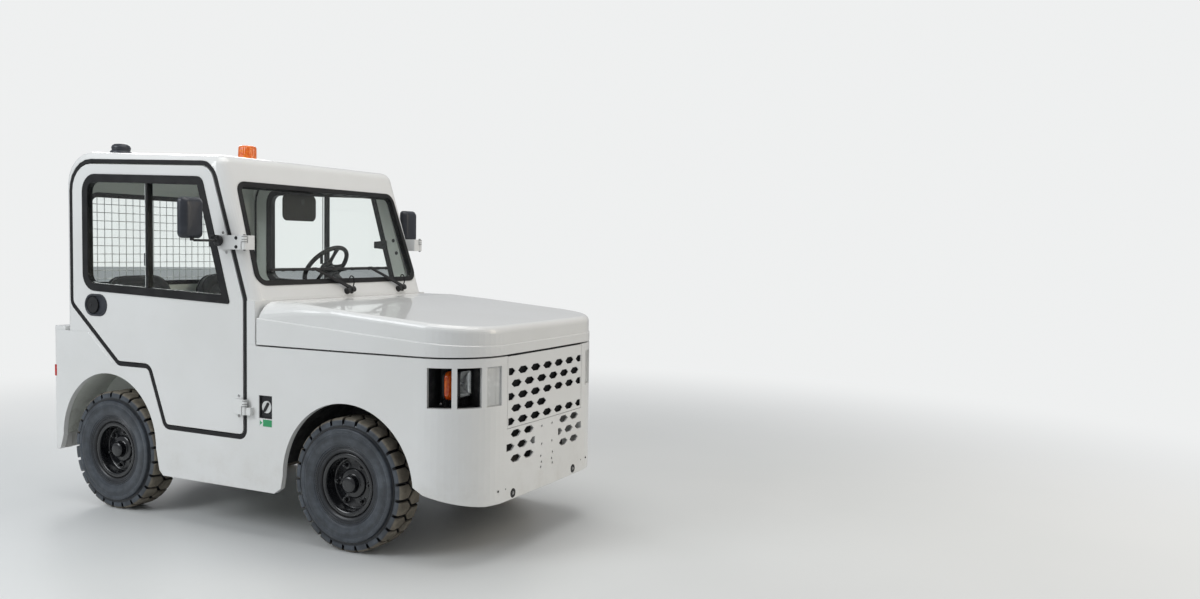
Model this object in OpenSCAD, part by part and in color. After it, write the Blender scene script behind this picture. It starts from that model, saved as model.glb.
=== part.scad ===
// Airport tow tractor with a two-seat cab. Millimetres.
// +X is forward, +Y is the driver's left, +Z is up. The origin is on the ground, under the middle.

/* [Body] */
// Width over the side skins
body_w = 1448; // [1380:2:1520]
// Front of the nose on the centreline
nose_x = 1474; // [1450:1:1500]
// Distance of the rear panel behind the origin
rear_back = 1443; // [1430:1:1450]
// Thickness of the side skins
skin = 30; // [24:1:34]
// Height of the seam under the bonnet and the cab
seam_z = 1011; // [1000:1:1020]
// Height of the skirt between the wheels
skirt_z = 247; // [235:1:270]
// Radius of the nose corners in plan
nose_r = 300; // [260:5:320]
// Distance from the side skin's face to the grille plate
grille_side = 333; // [324:1:340]
// Lower edge of the grille plate
grille_z = 643; // [630:1:660]
// Thickness of the grille plate
grille_t = 4; // [3:1:8]
// Thickness of the nose around the holes below the grille plate
nose_t = 10; // [6:1:14]

/* [Bonnet] */
// Height of the bonnet at its rear edge
bonnet_z = 1234; // [1215:1:1240]
// Rounding along the bonnet's front edge
bonnet_r = 32; // [28:1:40]
// Rounding of the bonnet's sides at its rear edge
bonnet_back_r = 90; // [70:1:100]
// Thickness of the bonnet
bonnet_t = 25; // [18:1:28]
// Gap around the bonnet
bonnet_gap = 8; // [6:1:10]
// Distance that the bonnet's lower band stands proud
bonnet_step = 5; // [3:1:8]
// Half distance between the bonnet's hinges
bonnet_hinge_y = 430; // [300:10:500]

/* [Cab] */
// Height of the roof at its front edge
roof_z = 1999; // [1980:1:2040]
// Thickness of the cab walls
wall = 35; // [28:1:38]
// Rounding of the windscreen pillars and the roof's front
pillar_r = 70; // [60:1:75]
// Rounding of the rear corners
rear_r = 50; // [40:1:52]
// Lean of the windscreen
lean = 18.26; // [17:0.1:19]
// Width of the rubber around the doors
seal_w = 28; // [26:1:30]
// Width of the rubber around the windscreen and the rear window
glazing_w = 28; // [22:1:32]
// Thickness of the cab's glass
glass_t = 6; // [4:0.5:8]

/* [Doors] */
// Thickness of a door
door_t = 40; // [36:1:44]
// Width of the door window's frame
frame_w = 45; // [38:1:50]
// Gap between a door and its seal
door_gap = 6; // [5.5:0.5:7]
// Radius of the hinge pins
hinge_pin_r = 6; // [5:0.5:7]
// Radius of the hinge barrels
hinge_r = 13; // [11:0.5:14]

/* [Wheels] */
// Outer radius of the tyres
tyre_r = 338; // [325:1:342]
// Width of the tyres
tyre_w = 190; // [180:2:196]
// Distance of a wheel's centre plane inside the side skin's face
wheel_inset = 112; // [110:1:118]
// Front axle line
front_x = 723; // [715:1:731]
// Rear axle line behind the origin
rear_axle_back = 975; // [970:1:985]
// Radius of the rims' bead seats
rim_r = 150; // [146:1:154]
// Width between the rims' flanges
rim_w = 130; // [120:2:140]
// Radius of the wheel spindles
spindle_r = 22; // [18:1:26]
// Running clearance of pins and shafts
running = 0.05; // [0.02:0.01:0.1]

/* [Steering] */
// Distance of a kingpin inside its wheel's centre plane
kingpin_offset = 132; // [128:1:136]
// Radius of the kingpins
kingpin_r = 15; // [12:1:18]
// Length of the steering arms
arm_l = 150; // [130:5:160]
// Radius of the steering wheel
wheel_ring_r = 155; // [145:5:165]

/* [Frame] */
// Height of the rails above the axle line
frame_rise = 57; // [50:1:60]
// Depth of the rails
rail_h = 80; // [70:2:90]
// Width of the rails
rail_w = 60; // [50:2:70]

/* [Hidden] */
$fn = 48;

paint = [0.86, 0.87, 0.86];
black = [0.07, 0.07, 0.07];
rubber = [0.10, 0.10, 0.10];
steel = [0.25, 0.26, 0.27];
pane = [0.60, 0.70, 0.72, 0.4];

half_w = body_w / 2;
rear_x = -rear_back;
rear_axle_x = -rear_axle_back;
rear_corner_r = 12;
grille_w = body_w - 2 * grille_side;
axle_z = tyre_r;
wheel_y = half_w - wheel_inset;
kingpin_y = wheel_y - kingpin_offset;
front_wall_y = kingpin_y - 160;
rear_wall_y = wheel_y - 122;
rail_y = [front_wall_y - 15 - rail_w, front_wall_y - 15];
frame_low = axle_z + frame_rise;
frame_top = frame_low + rail_h;
cab_front_x = 144;
cab_rear_x = -1340;
screen_foot = [136, 1249];
roof_slope = 0.0425;
seat_y = half_w - 384;
wheel_at = [-325, half_w - 394, 1395];

function roof_at(x) = roof_z - roof_slope * (x + 158);

// Corner tables hold one row per corner, anticlockwise: [across, up, radius].
function corner_turn(p, q, s) =
  let (a = (q - p) / norm(q - p), b = (s - q) / norm(s - q)) [a, b, a.x * b.y - a.y * b.x];
function at(t, i) = [t[i][0], t[i][1]];

// Moves every side of a corner table outwards by d.
function grow(t, d) = [
  for (i = [0 : len(t) - 1])
    let (
      n = len(t),
      c = corner_turn(at(t, (i + n - 1) % n), at(t, i), at(t, (i + 1) % n)),
      n1 = [c[0].y, -c[0].x],
      n2 = [c[1].y, -c[1].x],
      m = (n1 + n2) / (1 + n1 * n2)
    )
    [t[i][0] + d * m.x, t[i][1] + d * m.y, max(0, t[i][2] + (c[2] > 0 ? d : -d))]
];

// Points of a corner table with its corners rounded as arcs of steps chords.
function rounded(t, steps = 6) = [
  for (i = [0 : len(t) - 1])
    let (
      n = len(t),
      q = at(t, i),
      c = corner_turn(at(t, (i + n - 1) % n), q, at(t, (i + 1) % n)),
      turn = atan2(c[2], c[0] * c[1]),
      r = t[i][2],
      side = turn > 0 ? 1 : -1,
      left = [-c[0].y, c[0].x] * side,
      start = q - c[0] * r * tan(abs(turn) / 2),
      centre = start + left * r,
      a0 = atan2(-left.y, -left.x)
    )
    if (r > 0)
      for (k = [0 : steps]) centre + r * [cos(a0 + turn * k / steps), sin(a0 + turn * k / steps)]
    else q
];

// An outline drawn in X and Z, drawn out from y0 to y1.
module across(y0, y1) {
  translate([0, y1, 0]) rotate([90, 0, 0]) linear_extrude(height = y1 - y0) children();
}

// An outline drawn in Y and Z, drawn out from x0 to x1.
module along(x0, x1) {
  translate([x0, 0, 0]) rotate([90, 0, 90]) linear_extrude(height = x1 - x0) children();
}

// A block between two corners.
module block(low, high) {
  translate(low) cube(high - low);
}

// A rod along Y from y0 to y1.
module rod_y(r, y0, y1) {
  translate([0, y0, 0]) rotate([-90, 0, 0]) cylinder(r = r, h = y1 - y0);
}

module both_sides() {
  children();
  mirror([0, 1, 0]) children();
}

// Puts an outline drawn in Y and up the screen on the windscreen's plane, from depth c0 to c1.
module on_screen(c0, c1) {
  translate([screen_foot[0], 0, screen_foot[1]]) rotate([0, -lean, 0]) along(c0, c1) children();
}

// Plan of the nose, right side first
nose_taper_x = 700;
nose_corner = [nose_x - 9, half_w - 18];
function nose_plan(back_x, back_r) = [
  [back_x, -half_w, back_r],
  [nose_taper_x, -half_w, 4000],
  [nose_corner[0], -nose_corner[1], nose_r],
  [nose_x, 0, 0],
  [nose_corner[0], nose_corner[1], nose_r],
  [nose_taper_x, half_w, 4000],
  [back_x, half_w, back_r]
];

// The body's plan with its surface moved inwards by inset
nose_steps = 14;
module body_plan(inset) {
  polygon(rounded(grow(nose_plan(rear_x, rear_corner_r), -inset), nose_steps));
}

// Door, drawn in X and Z
door_plan = [
  [73, 520, 40],
  [73, 1241, 80],
  [-163, 1951, 110],
  [-1285, 1990, 165],
  [-1285, 1172, 60],
  [-895, 846, 50],
  [-645, 846, 50],
  [-520, 521, 40]
];
window_plan = [[-31, 1214, 12], [-233, 1884, 50], [-1185, 1916, 100], [-1185, 1252, 100]];
window_bar_x = -654;
window_bar = 8;
hinge_x = 92;
hinge_y = half_w + 20;
// Distance from a hinge's axis to what passes its barrel
hinge_clear = hinge_r + 6;
// Thickness of a hinge's flat iron
hinge_iron_t = 12;
// Door hinges: [lower end, upper end, strap's rear end, mirror carried]
door_hinges = [[643, 722, 15], [1500, 1574, -90]];

// Windscreen, drawn in Y and up the screen; rear window, drawn in Y and Z
screen_w = [half_w - 44, half_w - 72];
screen_plan = [[screen_w[0], 66, 70], [screen_w[1], 645, 60], [-screen_w[1], 645, 60], [-screen_w[0], 66, 70]];
rear_window_w = half_w - 124;
rear_window_plan = [
  [rear_window_w, 1260, 70], [rear_window_w, 1822, 70], [-rear_window_w, 1822, 70], [-rear_window_w, 1260, 70]
];

// Wheel arches: [centre x, centre z, radius]
front_arch = [739, 345, 406];
rear_arch = [-983, 393, 389];
front_liner_r = 425;
rear_liner_r = 400;
liner_t = 8;

// Lamp openings round the nose corner: [turn from the side, width]
lamp_z = [768, 960];
lamps = [[21.4, 118], [48.6, 119], [74.5, 94]];
lamp_fit = 0.3;

// Grille: pitch and size of its holes
hole_pitch = [grille_w / 6.342, 62.7];
hole_size = [98, 36];
hole_chamfer = 25;
hole_top_z = 925.4;

// Pairs of fixing holes below the grille: [height, half distance]
fixings = [[609, 54], [515, 54], [453, 62], [420, 54], [395, 62]];
fixing_r = 7;

// A six-sided hole, cut off at the half widths left and right
module pierced(left, right) {
  w = hole_size[0] / 2;
  h = hole_size[1] / 2;
  k = hole_chamfer;
  intersection() {
    polygon([[w, 0], [w - k, h], [k - w, h], [-w, 0], [k - w, -h], [w - k, -h]]);
    translate([-left, -h]) square([left + right, 2 * h]);
  }
}

// One hole of the pattern, at a count of half pitches from the middle
module hole(half_pitch, row, left, right) {
  translate([half_pitch * hole_pitch[0] / 2, hole_top_z - row * hole_pitch[1]]) pierced(left, right);
}

module grille_holes() {
  full = hole_size[0] / 2;
  part = full / 4;
  for (row = [0, 2, 4]) {
    for (i = [-4 : 2 : 4]) hole(i, row, full, full);
    hole(-6, row, part, full);
    hole(6, row, full, part);
  }
  for (i = [-5 : 2 : 5]) hole(i, 1, full, full);
  for (i = [-5 : 2 : -1]) hole(i, 3, full, full);
}

module lower_holes() {
  full = hole_size[0] / 2;
  for (side = [-1, 1]) {
    for (row = [5, 7])
      for (i = [3, 5]) hole(side * i, row, full, full);
    hole(side * 4, 6, full, full);
    mirror([side < 0 ? 1 : 0, 0]) {
      hole(6, 6, full, full / 2);
      hole(2, 6, 0, full);
    }
  }
}

module lamp_box(lamp, inset, y0, y1) {
  translate([nose_corner[0] - nose_r, nose_r - nose_corner[1], 0]) rotate([0, 0, lamp[0]])
    block([inset - lamp[1] / 2, y0 - nose_r, lamp_z[0] + inset], [lamp[1] / 2 - inset, y1 - nose_r, lamp_z[1] - inset]);
}

// What lies below the body's lower edge
module underside() {
  polygon([
    [-1600, -10], [1600, -10], [1600, 280], [1440, 288], [1200, 350], [1138, 384],
    [front_arch[0], front_arch[1]], [front_arch[0] - front_arch[2], front_arch[1]], [320, 277],
    [274, skirt_z], [-541, skirt_z], [-569, 275], [rear_arch[0] + rear_arch[2], rear_arch[1]],
    [rear_arch[0] - rear_arch[2], rear_arch[1]], [-1397, 318], [-1410, 306], [-1600, 306]
  ]);
  translate([front_arch[0], front_arch[1]]) circle(r = front_arch[2], $fn = 96);
  translate([rear_arch[0], rear_arch[1]]) circle(r = rear_arch[2], $fn = 96);
}

isolator = [[171, 631], [261, 750]];

module body_shell() {
  color(paint) difference() {
    linear_extrude(height = seam_z) difference() {
      body_plan(0);
      body_plan(skin);
    }
    both_sides() lower_recess();
    across(-half_w - 1, half_w + 1) underside();
    block([cab_front_x + 5, -half_w - 1, seam_z - bonnet_gap], [nose_x + 9, half_w + 1, seam_z + 1]);
    across(-half_w - 1, half_w + 1) polygon(rounded(grow(door_plan, seal_w / 2)));
    block([nose_x - 200, -grille_w / 2, grille_z], [nose_x + 9, grille_w / 2, seam_z]);
    both_sides() for (lamp = lamps) lamp_box(lamp, 0, -30, 45);
    along(nose_x - 200, nose_x + 9) lower_holes();
    for (pair = fixings)
      both_sides() translate([nose_x - 200, pair[1], pair[0]]) rotate([0, 90, 0]) cylinder(r = fixing_r, h = 220);
    block([isolator[0][0], -half_w - 1, isolator[0][1]], [isolator[1][0], -half_w + skin + 1, isolator[1][1]]);
    block([rear_x - 1, 84 - half_w, -1], [rear_x + skin + 10, half_w - 84, seam_z + 1]);
  }
  color(paint) both_sides() {
    hinge_pin(door_hinges[0]);
    hinge_foot(door_hinges[0]);
  }
}

// Space behind the holes below the grille, which leaves a thin plate there
module lower_recess() {
  margin = 5;
  low = hole_top_z - 7 * hole_pitch[1] - hole_size[1] / 2 - margin;
  inner = hole_pitch[0] - margin;
  translate([0, 0, low]) linear_extrude(height = grille_z - low) intersection() {
    body_plan(nose_t);
    translate([nose_x - 100, inner]) square([100, grille_w / 2 - inner]);
  }
}

// Top of a door hinge's fixed half
function fixed_top(hinge) = (hinge[0] + hinge[1]) / 2 - 1;

// Fixed half of a door hinge's barrel on the right side, with its pin
module hinge_pin(hinge) {
  translate([hinge_x, -hinge_y, hinge[0]]) {
    cylinder(r = hinge_r, h = fixed_top(hinge) - hinge[0]);
    cylinder(r = hinge_pin_r, h = hinge[1] - hinge[0]);
  }
}

// Foot that carries the lower hinge on the side skin
module hinge_foot(hinge) {
  block([hinge_x, -hinge_y - 4, hinge[0]], [cab_front_x - 10, skin / 2 - half_w, fixed_top(hinge)]);
}

// Bracket that carries the upper hinge in front of the windscreen pillar
module hinge_bracket(hinge) {
  leaf_x = 12;
  leaf_y = hinge_clear - hinge_y;
  web = hinge_iron_t / 2;
  block([hinge_x - web, -hinge_y, hinge[0]], [hinge_x + web, leaf_y, fixed_top(hinge)]);
  block([leaf_x, leaf_y, hinge[0]], [hinge_x + web, -screen_w[0], hinge[1]]);
}

module grille_panel() {
  color(paint) difference() {
    intersection() {
      linear_extrude(height = seam_z) difference() {
        body_plan(0);
        body_plan(grille_t);
      }
      block([nose_x - 200, -grille_w / 2, grille_z], [nose_x + 9, grille_w / 2, seam_z - bonnet_gap]);
    }
    along(nose_x - 200, nose_x + 9) grille_holes();
  }
}

bonnet_break_x = 400;
bonnet_nose_x = nose_taper_x - 60;
bonnet_slope = -0.0787;
// Rounding of the bonnet's rear edge, which turns past the cab
bonnet_heel_r = 45;
bonnet_back_x = cab_front_x + 10;
bonnet_hinge = [200, 1185];
hinge_lug_t = 12;
// Step in the bonnet's side: [height at the origin, slope]
side_step = [1155, -0.067];

module ahead_of(x) {
  translate([x, -half_w]) square([nose_x - x + 1, body_w]);
}

// One level of the bonnet's rounded nose, a quarter turn split into steps, sloped down to the front
module bonnet_level(plan, top, r, turn) {
  loop = rounded(grow(plan, -r * (1 - cos(turn))), nose_steps);
  lift = top - r + r * sin(turn);
  tilt = [[1, 0, 0, 0], [0, 1, 0, 0], [bonnet_slope, 0, 1, lift - bonnet_slope * bonnet_break_x], [0, 0, 0, 1]];
  multmatrix(tilt) linear_extrude(height = 0.1) intersection() {
    polygon(loop);
    ahead_of(bonnet_nose_x);
  }
}

// A cross-section of the bonnet above its step, with a rounding between the rear's and the nose's
module bonnet_rib(x, inset, drop = 0) {
  share = (x - bonnet_back_x) / (bonnet_nose_x - bonnet_back_x);
  r = bonnet_back_r + (bonnet_r - bonnet_back_r) * share - inset;
  half = half_w - bonnet_step - inset;
  top = bonnet_z - inset - drop;
  low = min(side_step[0] + side_step[1] * x + bonnet_step - inset, top - r);
  along(x, x + 0.1) polygon(rounded([[half, low, 0], [half, top, r], [-half, top, r], [-half, low, 0]]));
}

// A slice of the bonnet along the step in its side, ahead of x
module bonnet_slice(plan, lift, x) {
  multmatrix([[1, 0, 0, 0], [0, 1, 0, 0], [side_step[1], 0, 1, side_step[0] + lift]])
    linear_extrude(height = 0.1) intersection() {
      polygon(rounded(plan, nose_steps));
      ahead_of(x);
    }
}

module bonnet_form(back_x, foot_z, inset) {
  band = grow(nose_plan(back_x, 0), -inset);
  plan = grow(nose_plan(back_x - bonnet_step, 0), -inset - bonnet_step);
  step = 18;
  heel = bonnet_heel_r - inset;
  hull() {
    translate([0, 0, foot_z]) linear_extrude(height = 0.1) polygon(rounded(band, nose_steps));
    bonnet_slice(band, -inset, back_x);
  }
  hull() {
    bonnet_slice(band, -inset, back_x);
    bonnet_slice(plan, bonnet_step - inset, back_x);
  }
  hull() {
    for (turn = [0 : step : 90]) bonnet_rib(back_x + bonnet_heel_r - heel * cos(turn), inset, heel * (1 - sin(turn)));
    bonnet_rib(bonnet_break_x, inset);
  }
  hull() {
    bonnet_rib(bonnet_break_x, inset);
    bonnet_slice(plan, bonnet_step - inset, bonnet_nose_x);
    for (turn = [0 : step : 90]) bonnet_level(plan, bonnet_z - inset, bonnet_r - inset, turn);
  }
}

module bonnet() {
  flange = 12;
  open_y = half_w - bonnet_step - bonnet_t - flange;
  color(paint) difference() {
    bonnet_form(bonnet_back_x, seam_z, 0);
    bonnet_form(bonnet_back_x, seam_z - 60, bonnet_t);
    block([bonnet_back_x - 1, -open_y, seam_z - 1], [bonnet_back_x + 2 * bonnet_t, open_y, bonnet_hinge[1] + 10]);
  }
}

module bonnet_hinges() {
  lug_y = bonnet_hinge_y + hinge_lug_t + 2;
  lug_end = [bonnet_hinge[0] + 30, lug_y + hinge_lug_t];
  color(steel) both_sides() difference() {
    union() {
      block([bonnet_hinge[0] - 12, lug_y, bonnet_hinge[1] - 12], [lug_end[0], lug_end[1], bonnet_hinge[1] + 12]);
      block([bonnet_back_x + bonnet_heel_r, lug_y, bonnet_hinge[1]], [lug_end[0], lug_end[1], bonnet_z - bonnet_t]);
    }
    translate([bonnet_hinge[0], 0, bonnet_hinge[1]])
      rod_y(hinge_pin_r + running, lug_y - 1, lug_y + hinge_lug_t + 1);
  }
}

// Goose-necked arm under the bonnet's hinge, with its pin
module bonnet_arm() {
  foot = bonnet_hinge[1] - 85;
  block([cab_front_x - 1, bonnet_hinge_y, foot], [bonnet_hinge[0] + 10, bonnet_hinge_y + hinge_lug_t, foot + 25]);
  block([bonnet_hinge[0] - 10, bonnet_hinge_y, foot],
    [bonnet_hinge[0] + 10, bonnet_hinge_y + hinge_lug_t, bonnet_hinge[1] + 10]);
  translate([bonnet_hinge[0], 0, bonnet_hinge[1]])
    rod_y(hinge_pin_r, bonnet_hinge_y + hinge_lug_t, bonnet_hinge_y + 2 * hinge_lug_t + 4);
}

// The cab's rounded form, with its surface moved inwards by inset
module cab_form(inset) {
  rf = pillar_r - inset;
  rr = rear_r - inset;
  foot = screen_foot - [pillar_r * cos(lean), pillar_r * sin(lean)];
  rise = (roof_z - pillar_r - roof_slope * (foot[0] + 158) - foot[1]) / (1 - roof_slope * tan(lean));
  turn_r = 185;
  turn = [cab_rear_x + turn_r, roof_at(cab_rear_x + turn_r) - turn_r];
  hull() both_sides() {
    translate([foot[0], pillar_r - half_w, foot[1]]) sphere(r = rf, $fn = 32);
    translate([foot[0], pillar_r - half_w, seam_z]) cylinder(r = rf, h = 1, $fn = 32);
    translate([foot[0] - rise * tan(lean), pillar_r - half_w, foot[1] + rise]) sphere(r = rf, $fn = 32);
    for (a = [90 : 18 : 180])
      translate([turn[0] + (turn_r - rear_r) * cos(a), rear_r - half_w, turn[1] + (turn_r - rear_r) * sin(a)])
        sphere(r = rr, $fn = 32);
    translate([cab_rear_x + rear_r, rear_r - half_w, seam_z]) cylinder(r = rr, h = 1, $fn = 32);
  }
}

module cab_shell() {
  color(paint) difference() {
    union() {
      cab_form(0);
      block([cab_front_x - 200, -half_w, seam_z], [cab_front_x, half_w, 1236]);
    }
    cab_form(wall);
    block([cab_rear_x + wall, wall - half_w, seam_z - 1], [cab_front_x - wall, half_w - wall, seam_z + 90]);
    block([cab_front_x - 190, wall - half_w, seam_z - 1], [cab_front_x - wall, half_w - wall, 1200]);
    across(-half_w - 1, half_w + 1) polygon(rounded(grow(door_plan, seal_w / 2)));
    on_screen(-90, 30) polygon(rounded(screen_plan));
    along(cab_rear_x - 1, cab_rear_x + wall + 1) polygon(rounded(rear_window_plan));
  }
  color(paint) both_sides() {
    hinge_pin(door_hinges[1]);
    hinge_bracket(door_hinges[1]);
  }
  color(paint) both_sides() bonnet_arm();
}

module ring(plan, width) {
  difference() {
    polygon(rounded(plan));
    polygon(rounded(grow(plan, -width)));
  }
}

module rubber_seals() {
  color(rubber) both_sides() across(-half_w + 2, -half_w + skin)
    ring(grow(door_plan, seal_w / 2), seal_w - door_gap);
  color(rubber) on_screen(-wall, 4) ring(screen_plan, glazing_w);
  color(rubber) along(cab_rear_x - 4, cab_rear_x + wall) ring(rear_window_plan, glazing_w);
}

module cab_glass() {
  color(pane) on_screen(-15, glass_t - 15) polygon(rounded(grow(screen_plan, -glazing_w)));
  color(pane) along(cab_rear_x + 10, cab_rear_x + 10 + glass_t) polygon(rounded(grow(rear_window_plan, -glazing_w)));
}

module window_guard() {
  guard = grow(rear_window_plan, 40);
  guard_w = guard[0][0];
  wire_r = 2.5;
  pitch = 50;
  bars = floor((guard_w - 30) / pitch);
  color(steel) {
    along(cab_rear_x - 22, cab_rear_x - 14) ring(guard, 14);
    for (i = [-bars : bars])
      translate([cab_rear_x - 18, i * pitch, guard[0][1] + 8])
        cylinder(r = wire_r, h = guard[1][1] - guard[0][1] - 16, $fn = 8);
    for (z = [guard[0][1] + 35 : pitch : guard[1][1] - 30])
      translate([cab_rear_x - 18, 0, z]) rod_y(wire_r, 12 - guard_w, guard_w - 12, $fn = 8);
    both_sides() for (z = [guard[0][1] + 80, guard[1][1] - 80])
      block([cab_rear_x - 14, guard_w - 14, z], [cab_rear_x, guard_w - 2, z + 30]);
  }
}

// A door's own pieces are drawn for the right side.
module door_panel() {
  color(paint) difference() {
    across(-half_w, door_t - half_w) difference() {
      polygon(rounded(grow(door_plan, door_gap - seal_w / 2 - door_gap)));
      polygon(rounded(window_plan));
    }
    translate([-1078, -half_w - 1, 1168]) handle_form(94, 63, 12);
  }
  color(paint) for (hinge = door_hinges) hinge_door(hinge);
}

module handle_form(a, b, t) {
  rotate([-90, 0, 0]) linear_extrude(height = t) {
    square([2 * (a - b), 2 * b], center = true);
    for (side = [-1, 1]) translate([side * (a - b), 0]) circle(r = b);
  }
}

module hinge_door(hinge) {
  middle = (hinge[0] + hinge[1]) / 2;
  iron = hinge_iron_t / 2;
  difference() {
    union() {
      translate([hinge_x, -hinge_y, middle]) cylinder(r = hinge_r, h = hinge[1] - middle);
      block([hinge[2], -hinge_y - iron, hinge[0]], [hinge_x - hinge_clear, iron - hinge_y, hinge[1]]);
      block([hinge[2], -hinge_y - iron, middle + 5], [hinge_x, iron - hinge_y, hinge[1]]);
      block([hinge[2], -hinge_y, hinge[0]], [hinge[2] + 30, -half_w, hinge[1]]);
    }
    translate([hinge_x, -hinge_y, middle - 1]) cylinder(r = hinge_pin_r + running, h = hinge[1] - middle + 2);
  }
}

module door_window() {
  color(rubber) across(-half_w - 4, door_t - 6 - half_w) {
    ring(window_plan, frame_w);
    intersection() {
      polygon(rounded(grow(window_plan, -frame_w)));
      translate([window_bar_x - window_bar, 0]) square([2 * window_bar, 3000]);
    }
  }
}

module door_glass() {
  color(pane) across(12 - half_w, 18 - half_w) difference() {
    polygon(rounded(grow(window_plan, -frame_w)));
    translate([window_bar_x - window_bar, 0]) square([2 * window_bar, 3000]);
  }
}

mirror_head = [50, 140, 210];
mirror_at = [-110, -half_w - 176, 1660];
mirror_clamp = [-75, 1545];
module door_fittings() {
  clamp_y = [-hinge_y - 36, -hinge_y - hinge_iron_t / 2];
  arm_r = 8;
  clamp_r = 28;
  half = [mirror_head[1] / 2, mirror_head[2] / 2];
  color(black) translate([-1078, -half_w - 3, 1168]) handle_form(94, 63, 14);
  color(black) {
    translate([mirror_clamp[0], 0, mirror_clamp[1]]) rod_y(clamp_r, clamp_y[0], clamp_y[1]);
    translate([mirror_clamp[0], 0, mirror_clamp[1]]) rod_y(arm_r, mirror_at[1] - 10, clamp_y[0]);
    translate([mirror_at[0], mirror_at[1], mirror_clamp[1] - arm_r]) cylinder(r = arm_r, h = 40);
    block([mirror_at[0], mirror_at[1] - arm_r, mirror_clamp[1] - arm_r],
      [mirror_clamp[0] + arm_r, mirror_at[1] + arm_r, mirror_clamp[1] + arm_r]);
    translate(mirror_at) along(-mirror_head[0] / 2, mirror_head[0] / 2)
      polygon(rounded([[half[0], -half[1], 25], [half[0], half[1], 25], [-half[0], half[1], 25], [-half[0], -half[1], 25]]));
  }
}

module chassis_frame() {
  ends = [-1380, 1400];
  member = 60;
  color(steel) {
    both_sides() block([ends[0], rail_y[0], frame_low], [ends[1], rail_y[1], frame_top]);
    for (x = [ends[0], -1180, -500, 120, 1180, ends[1] - member])
      block([x, -rail_y[0], frame_low], [x + member, rail_y[0], frame_top]);
  }
}

module battery_pack() {
  pack_x = [260, 1240];
  color(steel) block([pack_x[0], 5 - rail_y[1], frame_top], [pack_x[1], rail_y[1] - 5, seam_z - 31]);
}

// One wheel arch's liner on the left side, open below the height low_z
module arch_liner(arch, r, wall_y, low_z) {
  difference() {
    translate([arch[0], 0, arch[1]]) rod_y(r + liner_t, wall_y - liner_t, half_w - skin);
    translate([arch[0], 0, arch[1]]) rod_y(r, wall_y, half_w);
    block([arch[0] - 1.2 * r, 0, -200], [arch[0] + 1.2 * r, half_w, low_z]);
  }
}

module arch_liners() {
  color(black) both_sides() intersection() {
    union() {
      arch_liner(front_arch, front_liner_r, front_wall_y, 400);
      arch_liner(rear_arch, rear_liner_r, rear_wall_y, 400);
    }
    linear_extrude(height = seam_z) body_plan(skin);
  }
}

module rear_deck() {
  deck_t = 24;
  panel_t = 20;
  color(paint) {
    translate([0, 0, seam_z]) linear_extrude(height = deck_t) intersection() {
      body_plan(0);
      translate([rear_x - 1, -half_w]) square([cab_rear_x - rear_x - 4, body_w]);
    }
    difference() {
      block([rear_x, 84 - half_w, 306], [rear_x + panel_t, half_w - 84, seam_z]);
      block([rear_x - 1, -140, 300], [rear_x + panel_t + 1, 140, 600]);
    }
  }
}

seat_top = 860;
module cab_floor() {
  floor_t = 20;
  side = half_w - 48;
  seat_front = -560;
  front = 110;
  color(paint) across(-side, side) polygon([
    [seat_front, frame_top], [front + floor_t, frame_top], [front + floor_t, seam_z], [front, seam_z],
    [front, frame_top + floor_t], [seat_front + floor_t, frame_top + floor_t], [seat_front + floor_t, seat_top],
    [cab_rear_x + wall, seat_top], [cab_rear_x + wall, seat_top - floor_t], [seat_front, seat_top - floor_t]
  ]);
}

module dashboard() {
  side = half_w - 64;
  top = 1235;
  color(black) difference() {
    across(-side, side)
      polygon([[-40, seam_z], [109, seam_z], [109, top - 40], [60, top], [-60, top], [-130, top - 55]]);
    on_column() cylinder(r = column_r + 0.3, h = 400);
  }
}

column_tilt = 40;
column_r = 28;
module on_column() {
  translate(wheel_at) rotate([0, 90 + column_tilt, 0]) children();
}

module steering_column() {
  color(black) on_column() difference() {
    translate([0, 0, 30]) cylinder(r = column_r, h = 310);
    translate([0, 0, 29]) cylinder(r = 12 + running, h = 60);
  }
}

module steering_wheel() {
  color(black) on_column() {
    rotate_extrude() translate([wheel_ring_r, 0]) circle(r = 14);
    cylinder(r = 42, h = 24);
    cylinder(r = 12, h = 80);
    for (a = [0, 90, 180]) rotate([0, 0, a]) translate([20, -14, 2]) cube([wheel_ring_r - 24, 28, 8]);
  }
}

module seats() {
  half = 235;
  for (y = [-seat_y, seat_y])
    color(black) across(y - half, y + half) polygon(rounded([
      [-700, seat_top, 10], [-700, seat_top + 100, 40], [-1120, seat_top + 90, 30], [-1170, seat_top + 480, 40],
      [-1270, seat_top + 480, 30], [-1260, seat_top, 10]
    ]));
}

module sun_visor() {
  color(black) {
    along(-185, -173) polygon(rounded([[75, 1668, 25], [75, 1822, 25], [-195, 1822, 25], [-195, 1668, 25]]));
    block([-183, -66, 1815], [-175, -54, roof_at(-175) - wall - 0.3]);
  }
}

module wipers() {
  // Pivot's place across, and middle of its blade
  for (w = [[510, 240], [35, -240]])
    color(black) {
      on_screen(0, 30) translate([w[0], 22]) circle(r = 14);
      on_screen(12, 20) polygon([[w[0] + 5, 14], [w[0] + 5, 30], [w[1], 156], [w[1], 142]]);
      on_screen(6, 14) translate([w[1] - 230, 142]) square([460, 14]);
    }
}

// Units that stand in the pocket and face forwards:
// [turn from the side, depth below the corner's surface, thickness, width, lower edge, upper edge, corner radius, foot]
headlamp = [46, 86, 38, 106, 811, 942, 14, 40];
indicator = [29.3, 78, 36, 80, 796, 942, 36, 30];
pocket_z = [lamp_z[0] - 8, lamp_z[1] + 8];
pocket_t = 4;
pocket_depth = 154;
pocket_turns = [7, 63];

module at_corner() {
  translate([nose_corner[0] - nose_r, nose_r - nose_corner[1], 0]) children();
}

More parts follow.
